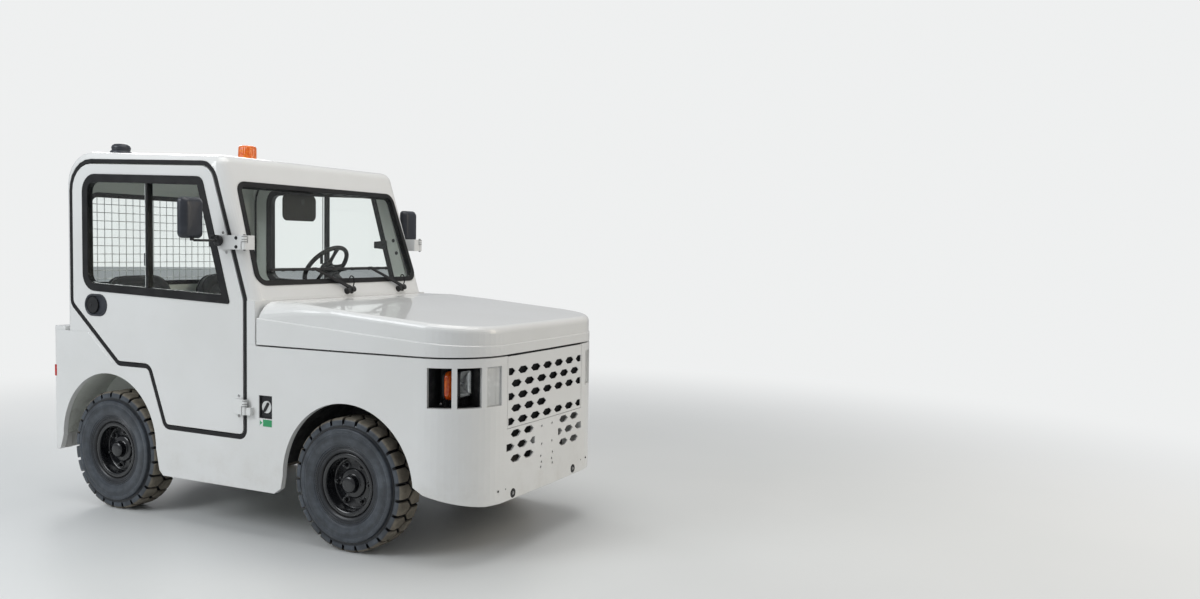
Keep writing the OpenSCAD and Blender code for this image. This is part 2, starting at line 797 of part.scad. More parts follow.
module lamp_unit(unit) {
  reach = nose_r - unit[1];
  half = unit[3] / 2;
  depth = unit[2] / 2;
  foot = unit[7] / 2;
  at_corner() translate([reach * sin(unit[0]), -reach * cos(unit[0]), 0]) {
    along(-depth, depth) polygon(rounded([
      [-half, unit[4], unit[6]], [half, unit[4], unit[6]], [half, unit[5], unit[6]], [-half, unit[5], unit[6]]
    ]));
    block([-depth, -foot, pocket_z[0] + pocket_t], [12 - depth, foot, unit[4] + 20]);
  }
}

module headlamps() {
  color(pane) {
    both_sides() lamp_unit(headlamp);
    both_sides() lamp_box(lamps[2], lamp_fit, 8, 34);
  }
}

module indicators() {
  color("orange") both_sides() lamp_unit(indicator);
}

// A wedge in plan between two turns from the side, drawn from a nose corner's centre
module corner_wedge(turns) {
  reach = 2 * nose_r;
  polygon([[0, 0], for (a = turns) reach * [sin(a), -cos(a)]]);
}

// Dark pocket behind the two outer lamp openings of a nose corner
module lamp_pockets() {
  inner = nose_r - pocket_depth;
  inside = [pocket_turns[0] + 1.2, pocket_turns[1] - 1.2];
  color(black) both_sides() difference() {
    translate([0, 0, pocket_z[0]]) linear_extrude(height = pocket_z[1] - pocket_z[0]) intersection() {
      body_plan(skin);
      at_corner() corner_wedge(pocket_turns);
    }
    at_corner() {
      translate([0, 0, pocket_z[0] + pocket_t]) linear_extrude(height = pocket_z[1] - pocket_z[0] - 2 * pocket_t)
        difference() {
          corner_wedge(inside);
          circle(r = inner);
        }
      translate([0, 0, pocket_z[0] - 1]) cylinder(r = inner - pocket_t, h = 300);
    }
  }
}

module rear_lamps() {
  color("red") both_sides() for (z = [740, 640, 540])
    block([rear_x - 12, half_w - 83, z], [rear_x, half_w - 15, z + 66]);
}

module roof_lamps() {
  roof_tilt = atan(roof_slope);
  color("orange") translate([-654, 0, roof_at(-654) + 0.1]) rotate([0, roof_tilt, 0]) {
    cylinder(r = 55, h = 110);
    cylinder(r = 60, h = 30);
  }
  color(black) translate([-1080, 174 - half_w, roof_at(-1080) + 0.1]) rotate([0, roof_tilt, 0]) {
    cylinder(r = 60, h = 40);
    translate([0, 0, 40]) cylinder(r = 45, h = 22);
  }
}

module isolator_switch() {
  fit = 0.3;
  color(black) block([isolator[0][0] + fit, 12 - half_w, isolator[0][1] + fit],
    [isolator[1][0] - fit, skin - half_w, isolator[1][1] - fit]);
  color("gray") translate([(isolator[0][0] + isolator[1][0]) / 2, 0, 690]) rod_y(32, 3 - half_w, 12 - half_w);
}

module front_axle() {
  color(steel) difference() {
    union() {
      block([front_x - 40, -kingpin_y + 10, axle_z - 35], [front_x + 40, kingpin_y - 10, axle_z + 35]);
      both_sides() translate([front_x, kingpin_y, axle_z - 38]) cylinder(r = 28, h = 76);
      both_sides() block([front_x - 60, rail_y[0] + 5, axle_z + 35], [front_x + 60, rail_y[1] - 5, frame_low]);
    }
    both_sides() translate([front_x, kingpin_y, axle_z - 39]) cylinder(r = kingpin_r + running, h = 78);
  }
}

// A steering knuckle with its spindle and arm, on the right side
module knuckle() {
  fork = [39, 59];
  color(steel) translate([front_x, -kingpin_y, axle_z]) {
    translate([0, 0, -fork[1]]) cylinder(r = kingpin_r, h = 2 * fork[1]);
    for (z = [-fork[1], fork[0]]) {
      translate([0, 0, z]) cylinder(r = 26, h = fork[1] - fork[0]);
      block([-26, -48, z], [26, 0, z + fork[1] - fork[0]]);
    }
    block([-26, -48, -fork[1]], [26, -34, fork[1]]);
    rod_y(spindle_r, kingpin_y - wheel_y - 34, -40);
    rod_y(spindle_r + 10, -82, -40);
    block([-arm_l, -12, -fork[1]], [-10, 12, -fork[0]]);
    translate([-arm_l, 0, -fork[1]]) cylinder(r = 18, h = 20);
    translate([-arm_l, 0, -fork[1] - 26]) cylinder(r = 9, h = 27);
  }
}

module tie_rod() {
  eye_z = axle_z - 59 - 24;
  color(steel) difference() {
    union() {
      for (y = [-kingpin_y, kingpin_y]) translate([front_x - arm_l, y, eye_z]) cylinder(r = 20, h = 20);
      translate([front_x - arm_l, 0, eye_z + 10]) rod_y(10, 12 - kingpin_y, kingpin_y - 12);
    }
    translate([front_x - arm_l, -kingpin_y, eye_z - 1]) cylinder(r = 9 + running, h = 22);
    translate([front_x - arm_l, kingpin_y, eye_z - 1]) cylinder(r = 11, h = 22);
  }
}

module rear_axle() {
  color(steel) translate([rear_axle_x, 0, axle_z]) {
    rod_y(45, 92 - wheel_y, wheel_y - 92);
    rod_y(spindle_r, -wheel_y - 34, wheel_y + 34);
    rod_y(120, -110, 70);
    both_sides() block([-60, rail_y[0] + 5, 20], [60, rail_y[1] - 5, frame_rise]);
  }
}

module rear_coupling() {
  plate_t = 16;
  low = frame_low + 5;
  pitch = 60;
  color(steel) difference() {
    union() {
      for (i = [0 : 2]) block([-nose_x, -80, low + i * pitch], [-1380, 80, low + i * pitch + plate_t]);
      block([-1400, -80, low], [-1380, 80, low + 2 * pitch + plate_t]);
    }
    translate([-1448, 0, low - 10]) cylinder(r = plate_t, h = 160);
  }
}

// Half section of a tyre: [radius, half width], from the bead outwards
module tyre() {
  h = tyre_w / 2;
  color(rubber) rotate([90, 0, 0]) rotate_extrude($fn = 72) polygon([
    [rim_r, -rim_w / 2], [rim_r + 22, -rim_w / 2], [rim_r + 45, -h + 6], [rim_r + 90, -h], [tyre_r - 40, -h + 2],
    [tyre_r - 12, -h + 6], [tyre_r - 3, -h + 16], [tyre_r, -h + 34], [tyre_r, h - 34],
    [tyre_r - 3, h - 16], [tyre_r - 12, h - 6], [tyre_r - 40, h - 2], [rim_r + 90, h], [rim_r + 45, h - 6],
    [rim_r + 22, rim_w / 2], [rim_r, rim_w / 2]
  ]);
}

// A rim with its outer face towards -Y
module rim() {
  flange = 7;
  w = rim_w / 2;
  bore = spindle_r + running;
  color(black) rotate([90, 0, 0]) rotate_extrude($fn = 72) polygon([
    [bore, -50], [52, -50], [52, 6], [rim_r - 8, 6], [rim_r - 8, -w - flange], [rim_r + 22, -w - flange],
    [rim_r + 22, -w], [rim_r, -w], [rim_r, w], [rim_r + 22, w], [rim_r + 22, w + flange], [rim_r - 8, w + flange],
    [rim_r - 8, 16], [52, 16], [52, 45], [30, 60], [0, 60], [0, 36], [bore, 36]
  ]);
}

// Places a wheel drawn for the right side: [axle line, side], side 1 on the left
module at_wheel(x, side) {
  translate([x, side * wheel_y, axle_z]) mirror([0, side > 0 ? 1 : 0, 0]) children();
}

chassis_frame();
battery_pack();
body_shell();
grille_panel();
arch_liners();
rear_deck();
cab_floor();
cab_shell();
rubber_seals();
cab_glass();
window_guard();
dashboard();
steering_column();
steering_wheel();
seats();
sun_visor();
wipers();
headlamps();
indicators();
lamp_pockets();
rear_lamps();
roof_lamps();
isolator_switch();
front_axle();
rear_axle();
rear_coupling();
bonnet();
bonnet_hinges();
door_panel();  // door_panel_right
door_window();  // door_window_right
door_glass();  // door_glass_right
door_fittings();  // door_fittings_right
mirror([0, 1, 0]) door_panel();  // door_panel_left
mirror([0, 1, 0]) door_window();  // door_window_left
mirror([0, 1, 0]) door_glass();  // door_glass_left
mirror([0, 1, 0]) door_fittings();  // door_fittings_left
knuckle();  // knuckle_right
mirror([0, 1, 0]) knuckle();  // knuckle_left
tie_rod();
at_wheel(front_x, -1) rim();  // rim_front_right
at_wheel(front_x, -1) tyre();  // tyre_front_right
at_wheel(front_x, 1) rim();  // rim_front_left
at_wheel(front_x, 1) tyre();  // tyre_front_left
at_wheel(rear_axle_x, -1) rim();  // rim_rear_right
at_wheel(rear_axle_x, -1) tyre();  // tyre_rear_right
at_wheel(rear_axle_x, 1) rim();  // rim_rear_left
at_wheel(rear_axle_x, 1) tyre();  // tyre_rear_left
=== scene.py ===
import math

import bmesh
import bpy
from mathutils import Matrix, Vector


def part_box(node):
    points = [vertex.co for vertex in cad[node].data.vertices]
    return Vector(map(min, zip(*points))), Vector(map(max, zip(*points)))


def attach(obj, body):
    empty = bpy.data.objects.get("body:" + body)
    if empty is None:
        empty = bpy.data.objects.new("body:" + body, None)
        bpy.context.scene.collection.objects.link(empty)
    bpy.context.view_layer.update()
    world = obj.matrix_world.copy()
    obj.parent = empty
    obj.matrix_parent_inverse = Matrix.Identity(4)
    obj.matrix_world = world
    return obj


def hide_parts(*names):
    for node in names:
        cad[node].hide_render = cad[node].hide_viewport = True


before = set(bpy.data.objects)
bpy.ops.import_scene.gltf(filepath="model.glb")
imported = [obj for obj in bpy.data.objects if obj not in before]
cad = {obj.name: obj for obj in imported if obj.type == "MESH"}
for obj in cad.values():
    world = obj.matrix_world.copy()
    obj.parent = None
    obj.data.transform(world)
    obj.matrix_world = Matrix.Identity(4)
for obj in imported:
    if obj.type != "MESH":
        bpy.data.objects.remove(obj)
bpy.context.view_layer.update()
sin, cos, pi = math.sin, math.cos, math.pi
print("frame loaded:", len(cad), "nodes")

# sizes shared with the part, in metres
body = {"nose": 1.474, "side": 0.7238, "roofFront": (-0.158, 1.999), "roofSlope": 0.0425}
wheels = {
    "front_right": (0.723, -0.612), "front_left": (0.723, 0.612),
    "rear_right": (-0.975, -0.612), "rear_left": (-0.975, 0.612),
}
axleHeight = 0.338
still = Matrix.Identity(4)


def roofAt(x):
    front, height = body["roofFront"]
    return height - body["roofSlope"] * (x - front)


# view and light; angles in degrees

view = {
    "from": (4.0206, -4.5385, 1.5349), "yaw": 26.3557, "pitch": -2.924, "roll": 0.9029,
    "focal": 29.93, "film": 36.0,
}


def setCamera():
    yaw, pitch, roll = (math.radians(view[key]) for key in ("yaw", "pitch", "roll"))
    ahead = Vector((-sin(yaw) * cos(pitch), cos(yaw) * cos(pitch), sin(pitch)))
    right = Vector((cos(yaw), sin(yaw), 0))
    up = right.cross(ahead)
    right, up = right * cos(roll) + up * sin(roll), up * cos(roll) - right * sin(roll)
    turn = Matrix((right, up, -ahead)).transposed().to_4x4()
    data = bpy.data.cameras.new("camera")
    data.lens, data.sensor_width, data.sensor_fit = view["focal"], view["film"], "HORIZONTAL"
    data.clip_end = 200
    camera = bpy.data.objects.new("camera", data)
    camera.matrix_world = Matrix.Translation(view["from"]) @ turn
    bpy.context.scene.collection.objects.link(camera)
    bpy.context.scene.camera = camera
    print("camera set")


studio = {
    "backdrop": (0.86, 0.87, 0.87), "ambient": (0.93, 0.96, 1.0), "ambientLevel": 0.44,
    # place, aimed at, size, watts, colour
    "lamps": [
        ((-2.6, -5.4, 4.6), (0, 0, 0.9), 4.0, 212, (0.94, 0.975, 1.0)),
        ((1.0, 0.0, 6.2), (0.2, 0, 0.8), 5.0, 150, (1.0, 0.99, 0.97)),
        ((6.0, 2.2, 3.2), (0.6, 0, 0.8), 3.0, 82, (1.0, 0.885, 0.72)),
        ((-5.5, 3.6, 4.2), (-0.5, 0, 1.0), 3.0, 100, (1.0, 1.0, 1.0)),
    ],
}


def setLight():
    for i, (place, target, size, watts, colour) in enumerate(studio["lamps"]):
        data = bpy.data.lights.new(f"softbox_{i}", "AREA")
        data.shape, data.size, data.energy, data.color = "DISK", size, watts, colour
        lamp = bpy.data.objects.new(f"softbox_{i}", data)
        lamp.location = place
        lamp.rotation_euler = (Vector(target) - Vector(place)).to_track_quat("-Z", "Y").to_euler()
        bpy.context.scene.collection.objects.link(lamp)
    world = bpy.data.worlds.new("studio")
    bpy.context.scene.world = world
    world.use_nodes = True
    tree = world.node_tree
    tree.nodes.clear()
    # the camera, also through glass, sees the backdrop; everything else is lit by the ambient colour
    path, seen, lit, shown, mixed, result = (
        tree.nodes.new("ShaderNode" + kind)
        for kind in ("LightPath", "Math", "Background", "Background", "MixShader", "OutputWorld"))
    seen.operation = "MAXIMUM"
    lit.inputs["Color"].default_value = (*studio["ambient"], 1)
    lit.inputs["Strength"].default_value = studio["ambientLevel"]
    shown.inputs["Color"].default_value = (*studio["backdrop"], 1)
    for start, end in (
            (path.outputs["Is Camera Ray"], seen.inputs[0]),
            (path.outputs["Is Transmission Ray"], seen.inputs[1]),
            (seen.outputs[0], mixed.inputs[0]), (lit.outputs[0], mixed.inputs[1]),
            (shown.outputs[0], mixed.inputs[2]), (mixed.outputs[0], result.inputs[0])):
        tree.links.new(start, end)
    bpy.context.scene.view_settings.view_transform = "Standard"
    print("lamps and backdrop set")


class Finish:
    # a material's node tree; each call adds one node and gives its output
    def __init__(self, name, **surface):
        self.material = bpy.data.materials.new(name)
        self.material.use_nodes = True
        self.tree = self.material.node_tree
        self.shader = self.tree.nodes["Principled BSDF"]
        for label, value in surface.items():
            self.set(label, value)
        self.where = self.add("TexCoord", output="Object")

    def set(self, label, value):
        socket = self.shader.inputs[label.replace("_", " ")]
        if isinstance(value, bpy.types.NodeSocket):
            self.tree.links.new(value, socket)
        else:
            socket.default_value = (*value, 1) if isinstance(value, tuple) and len(value) == 3 else value

    def add(self, kind, inputs=None, output=0, **settings):
        made = self.tree.nodes.new("ShaderNode" + kind)
        for label, value in settings.items():
            setattr(made, label, value)
        for label, value in (inputs or {}).items():
            if isinstance(value, bpy.types.NodeSocket):
                self.tree.links.new(value, made.inputs[label])
            else:
                made.inputs[label].default_value = value
        return made.outputs[output]

    def noise(self, scale, detail=3, rough=0.5, where=None):
        return self.add("TexNoise", {"Vector": where or self.where, "Scale": scale, "Detail": detail,
                                     "Roughness": rough})

    def math(self, what, a, b=0.0):
        return self.add("Math", {0: a, 1: b}, operation=what)

    def times(self, a, b):
        return self.math("MULTIPLY", a, b)

    def plus(self, a, b):
        return self.math("ADD", a, b)

    def band(self, value, low, high, out=(0.0, 1.0)):
        return self.add(
            "MapRange", {"Value": value, "From Min": low, "From Max": high, "To Min": out[0],
                         "To Max": out[1]},
            interpolation_type="SMOOTHSTEP")

    def mix(self, share, a, b):
        full = [(*c, 1) if isinstance(c, tuple) and len(c) == 3 else c for c in (a, b)]
        return self.add("Mix", {0: share, 6: full[0], 7: full[1]}, output=2, data_type="RGBA")

    def axis(self, name):
        return self.add("SeparateXYZ", {0: self.where}, output=name)

    def radius(self, a="X", b="Z"):
        parts = [self.math("POWER", self.axis(n), 2.0) for n in (a, b)]
        return self.math("SQRT", self.plus(*parts))

    def bump(self, height, distance, strength=1.0, over=None):
        inputs = {"Height": height, "Distance": distance, "Strength": strength}
        if over:
            inputs["Normal"] = over
        return self.add("Bump", inputs)

    def soften(self, radius):
        return self.add("Bevel", {"Radius": radius}, samples=4)


# finishes

def paintFinish(name, colour, shade, low, edge=0.004, lining=None):
    f = Finish(name, Roughness=0.3, Coat_Weight=0.65, Coat_Roughness=0.045, Coat_IOR=1.5)
    patches = f.band(f.noise(1.7, 4, 0.6), 0.35, 0.7)
    tone = f.mix(patches, colour, shade)
    height = f.axis("Z")
    dust = f.times(f.band(height, 0.62, 0.22), f.band(f.noise(9, 6, 0.65), 0.4, 0.75))
    tone = f.mix(f.times(dust, 0.3), tone, low)
    if lining:
        # inner faces of the cab, behind the sides, the screen, the roof and the rear wall
        across, along = f.math("ABSOLUTE", f.axis("Y")), f.axis("X")
        screenSide = f.plus(along, f.times(f.math("SUBTRACT", height, 1.249), 0.33))
        roofSide = f.plus(height, f.times(along, body["roofSlope"]))
        within = f.band(across, 0.694, 0.69)
        for value, outside, inside in ((screenSide, 0.12, 0.116), (along, 0.13, 0.124),
                                       (along, -1.328, -1.322), (roofSide, 1.969, 1.966)):
            within = f.times(within, f.band(value, outside, inside))
        tone = f.mix(within, tone, f.mix(patches, lining, tuple(c * 0.93 for c in lining)))
    specks = f.band(f.noise(140, 2, 0.5), 0.69, 0.74)
    tone = f.mix(f.times(specks, 0.12), tone, (0.45, 0.42, 0.38))
    f.set("Base Color", tone)
    f.set("Roughness", f.band(f.plus(f.noise(3.5, 3), dust), 0.3, 1.5, (0.3, 0.46)))
    peel = f.bump(f.noise(420, 2), 0.0001, 0.1, f.soften(edge))
    f.set("Normal", f.bump(f.noise(1.8, 1), 0.004, 0.1, peel))
    return f.material


def rubberFinish(name, colour, grain, dust):
    f = Finish(name, Roughness=0.6, Specular_IOR_Level=0.3)
    worn = f.band(f.noise(14, 5, 0.6), 0.4, 0.75)
    f.set("Base Color", f.mix(f.times(worn, dust), colour, (0.1, 0.1, 0.098)))
    f.set("Roughness", f.band(worn, 0, 1, (0.42, 0.68)))
    f.set("Normal", f.bump(f.noise(grain, 3, 0.6), 0.0004, 0.5, f.soften(0.0015)))
    return f.material


def linerFinish():
    # dark coating in the front arches, the body's pale paint in the rear ones
    f = Finish("archLining", Roughness=0.6)
    coat = f.mix(f.band(f.noise(14, 5, 0.6), 0.4, 0.75), (0.014, 0.014, 0.016), (0.045, 0.044, 0.042))
    pale = f.mix(f.band(f.noise(5, 5, 0.6), 0.35, 0.7), (0.62, 0.645, 0.6), (0.52, 0.535, 0.5))
    splash = f.times(f.band(f.axis("Z"), 0.75, 0.35), f.band(f.noise(22, 6, 0.7), 0.45, 0.7))
    pale = f.mix(f.times(splash, 0.5), pale, (0.2, 0.18, 0.15))
    f.set("Base Color", f.mix(f.band(f.axis("X"), -0.25, -0.35), coat, pale))
    f.set("Roughness", f.band(f.noise(30, 4), 0.3, 0.7, (0.5, 0.75)))
    f.set("Normal", f.bump(f.noise(120, 3, 0.6), 0.0006, 0.5, f.soften(0.002)))
    return f.material


def glassFinish(name, tint, rough=0.0):
    f = Finish(name, Base_Color=tint, Roughness=rough, IOR=1.22, Transmission_Weight=1.0,
               Specular_IOR_Level=0.4)
    smear = f.band(f.noise(5, 4, 0.7), 0.45, 0.8, (rough, rough + 0.025))
    f.set("Roughness", smear)
    path = f.add("LightPath", output="Is Shadow Ray")
    clear = f.add("BsdfTransparent", {"Color": (*tint, 1)})
    mixed = f.add("MixShader", {0: path, 1: f.shader.outputs[0], 2: clear})
    f.tree.links.new(mixed, f.tree.nodes["Material Output"].inputs[0])
    return f.material


def lensFinish(name, colour, glow):
    f = Finish(name, Roughness=0.12, IOR=1.49, Coat_Weight=0.5, Coat_Roughness=0.05)
    cells = f.band(f.noise(60, 3), 0.35, 0.65)
    f.set("Base Color", f.mix(cells, colour, glow))
    f.set("Transmission Weight", 0.35)
    f.set("Normal", f.bump(f.noise(240, 1), 0.0002, 0.3, f.soften(0.001)))
    return f.material


def metalFinish(name, colour, rough, dirt, grain=90.0, metal=1.0, shine=0.5):
    f = Finish(name, Metallic=metal, Specular_IOR_Level=shine)
    stain = f.band(f.noise(11, 6, 0.65), 0.42, 0.72)
    f.set("Base Color", f.mix(f.times(stain, 0.6), colour, dirt))
    f.set("Roughness", f.band(f.noise(grain, 4), 0.3, 0.7, (rough * 0.8, rough * 1.35)))
    f.set("Normal", f.bump(f.noise(grain * 4, 2), 0.0002, 0.4, f.soften(0.001)))
    return f.material


def plasticFinish(name, colour, grain=900.0, rough=0.5, shine=0.4):
    f = Finish(name, Roughness=rough, Specular_IOR_Level=shine)
    pores = f.add("TexVoronoi", {"Vector": f.where, "Scale": grain})
    rubbed = f.band(f.noise(18, 4, 0.6), 0.45, 0.8)
    f.set("Base Color", f.mix(f.times(rubbed, 0.35), colour, tuple(c * 1.9 + 0.01 for c in colour)))
    f.set("Roughness", f.band(rubbed, 0, 1, (rough * 0.85, rough * 1.25)))
    f.set("Normal", f.bump(pores, 0.0003, 0.35, f.soften(0.0015)))
    return f.material


def reflectorFinish():
    # pressed cells in bright metal
    f = Finish("lampReflector", Metallic=0.85, Roughness=0.3)
    f.set("Base Color", f.mix(f.band(f.noise(20, 3), 0.3, 0.7), (0.84, 0.84, 0.83), (0.7, 0.7, 0.69)))
    cells = f.add("TexVoronoi", {"Vector": f.where, "Scale": 70.0, "Smoothness": 0.6}, feature="SMOOTH_F1")
    f.set("Normal", f.bump(cells, 0.003, 0.35, f.soften(0.001)))
    return f.material


def enamelFinish(name, colour, rubbed):
    f = Finish(name, Coat_Weight=0.4, Coat_Roughness=0.14)
    worn = f.band(f.noise(24, 5, 0.65), 0.45, 0.8)
    f.set("Base Color", f.mix(f.times(worn, 0.7), colour, rubbed))
    f.set("Roughness", f.band(worn, 0, 1, (0.24, 0.42)))
    f.set("Normal", f.bump(f.noise(40, 2), 0.0001, 0.06, f.soften(0.0012)))
    return f.material


def tyreFinish():
    f = Finish("tyreRubber", Roughness=0.7)
    reach, side = f.radius(), f.math("ABSOLUTE", f.axis("Y"))
    rings = f.math("SINE", f.times(reach, 2600.0))
    around = f.noise(7, 5, 0.7)
    wall = f.mix(f.band(around, 0.36, 0.7), (0.031, 0.037, 0.046), (0.078, 0.092, 0.111))
    spread = f.add("CombineXYZ", {0: f.times(reach, 34.0), 1: f.times(around, 0.5)})
    streaks = f.band(f.noise(1.0, 6, 0.75, spread), 0.4, 0.66)
    wall = f.mix(f.times(streaks, 0.55), wall, (0.014, 0.016, 0.02))
    # painted shade: the groove ring round the sidewall disc and the concave band inside it, by the rim, are
    # darkened all round
    groove = f.times(f.band(reach, 0.284, 0.289), f.band(reach, 0.303, 0.298))
    near = f.plus(f.band(reach, 0.205, 0.19), groove)
    wall = f.mix(f.times(near, 0.75), wall, (0.01, 0.011, 0.014))
    scuff = f.band(f.noise(30, 6, 0.75), 0.5, 0.78)
    wall = f.mix(f.times(scuff, 0.22), wall, (0.1, 0.1, 0.1))
    dusty = f.mix(f.band(f.noise(16, 6, 0.7), 0.35, 0.7), (0.12, 0.104, 0.08), (0.215, 0.19, 0.15))
    tread = f.times(f.band(reach, 0.323, 0.331), f.band(side, 0.0835, 0.079))
    # painted shade: the floors and walls of the grooves between the lugs are painted near black
    floor = f.band(reach, 0.331, 0.322)
    grooveShade = f.times(floor, f.band(side, 0.082, 0.075))
    tone = f.mix(tread, wall, dusty)
    f.set("Base Color", f.mix(grooveShade, tone, (0.006, 0.006, 0.007)))
    f.set("Roughness", f.plus(f.band(tread, 0, 1, (0.31, 0.78)), f.times(streaks, 0.1)))
    grit = f.bump(f.noise(300, 4, 0.7), 0.0007, 0.4)
    f.set("Normal", f.bump(rings, 0.0002, 0.08, grit))
    return f.material


def clothFinish(name, colour, thread):
    f = Finish(name, Roughness=0.85, Sheen_Weight=0.25, Sheen_Roughness=0.5)
    weave = [
        f.add("TexWave", {"Vector": f.where, "Scale": thread, "Distortion": 0.6, "Detail": 1.0}, output="Fac",
              bands_direction=way)
        for way in ("Y", "Z")]
    knit = f.times(*weave)
    shade = f.mix(f.band(f.noise(6, 4, 0.6), 0.35, 0.7), colour, tuple(c * 1.5 for c in colour))
    f.set("Base Color", f.mix(f.times(knit, 0.5), shade, tuple(c * 2.4 for c in colour)))
    f.set("Normal", f.bump(knit, 0.0006, 0.5, f.bump(f.noise(40, 3), 0.002, 0.2)))
    return f.material


finishes = {
    "paint": paintFinish("whitePaint", (0.742, 0.745, 0.736), (0.712, 0.714, 0.7), (0.52, 0.49, 0.44)),
    "cabPaint": paintFinish("cabPaint", (0.742, 0.745, 0.736), (0.712, 0.714, 0.7), (0.52, 0.49, 0.44),
                            lining=(0.68, 0.71, 0.665)),
    "seal": rubberFinish("doorSeal", (0.007, 0.007, 0.008), 260, 0.12),
    "liner": linerFinish(),
    "pane": glassFinish("windowPane", (0.955, 0.98, 0.97)),
    "lampGlass": glassFinish("lampGlass", (0.95, 0.97, 0.98), 0.02),
    "frosted": plasticFinish("paleCover", (0.56, 0.57, 0.565), 500, 0.35),
    "orange": lensFinish("orangeLens", (0.84, 0.085, 0.006), (1.0, 0.185, 0.015)),
    "beacon": lensFinish("beaconLens", (0.84, 0.13, 0.005), (1.0, 0.25, 0.015)),
    "red": lensFinish("redLens", (0.45, 0.012, 0.012), (0.75, 0.03, 0.02)),
    "clearLens": lensFinish("reversingLens", (0.72, 0.72, 0.7), (0.88, 0.88, 0.86)),
    "tyre": tyreFinish(),
    "rim": enamelFinish("rimPaint", (0.0045, 0.005, 0.0065), (0.016, 0.017, 0.019)),
    "plastic": plasticFinish("blackPlastic", (0.011, 0.0115, 0.013)),
    "softPlastic": plasticFinish("mirrorShell", (0.027, 0.03, 0.038), 700, 0.38),
    "blackMetal": metalFinish("wiperPaint", (0.009, 0.009, 0.01), 0.36, (0.035, 0.035, 0.035), 80, 0.1),
    "chrome": reflectorFinish(),
    "mirrorGlass": metalFinish("mirrorGlass", (0.86, 0.88, 0.89), 0.03, (0.8, 0.82, 0.83), 8),
    "zinc": metalFinish("zincWire", (0.62, 0.63, 0.63), 0.35, (0.36, 0.35, 0.33), 160, 0.8),
    "steel": metalFinish("chassisPaint", (0.045, 0.046, 0.05), 0.5, (0.12, 0.1, 0.08), 50, 0.3),
    "bolt": metalFinish("boltSteel", (0.42, 0.42, 0.42), 0.32, (0.2, 0.18, 0.16), 120),
    "cloth": clothFinish("seatCloth", (0.026, 0.027, 0.03), 260),
    "piping": clothFinish("seatPiping", (0.016, 0.016, 0.018), 400),
    "thread": clothFinish("seatThread", (0.055, 0.055, 0.057), 900),
    "grip": plasticFinish("softGrip", (0.01, 0.01, 0.011), 1100, 0.55),
    "dialFace": plasticFinish("dialFace", (0.008, 0.008, 0.009), 1500, 0.4),
    "dashCover": plasticFinish("dashCover", (0.115, 0.12, 0.115), 620, 0.6),
    "visorSkin": plasticFinish("visorSkin", (0.012, 0.0115, 0.0095), 520, 0.6, 0.2),
    "label": plasticFinish("greenLabel", (0.035, 0.3, 0.12), 1200, 0.3),
    "whiteLabel": plasticFinish("whiteLabel", (0.66, 0.67, 0.66), 1200, 0.3),
    "greyPlastic": plasticFinish("greyKnob", (0.2, 0.21, 0.22), 800, 0.4),
    "plugYellow": plasticFinish("plugYellow", (0.52, 0.38, 0.04), 900, 0.4),
}

paintedNodes = {
    "paint": ["body_shell", "grille_panel", "rear_deck", "bonnet"],
    "cabPaint": ["cab_floor", "cab_shell", "door_panel_right", "door_panel_left"],
    "seal": ["rubber_seals", "door_window_right", "door_window_left"],
    "liner": ["arch_liners", "lamp_pockets"],
    "pane": ["cab_glass", "door_glass_right", "door_glass_left"],
    "plastic": ["dashboard", "steering_column"],
    "zinc": ["window_guard"],
    "blackMetal": ["battery_pack"],
    "steel": ["chassis_frame", "front_axle", "rear_axle", "rear_coupling", "bonnet_hinges", "knuckle_right",
              "knuckle_left", "tie_rod"],
}


def finishNodes():
    for finish, names in paintedNodes.items():
        for name in names:
            for slot in cad[name].material_slots:
                slot.material = finishes[finish]
    print("materials set:", len(finishes))


# shapes

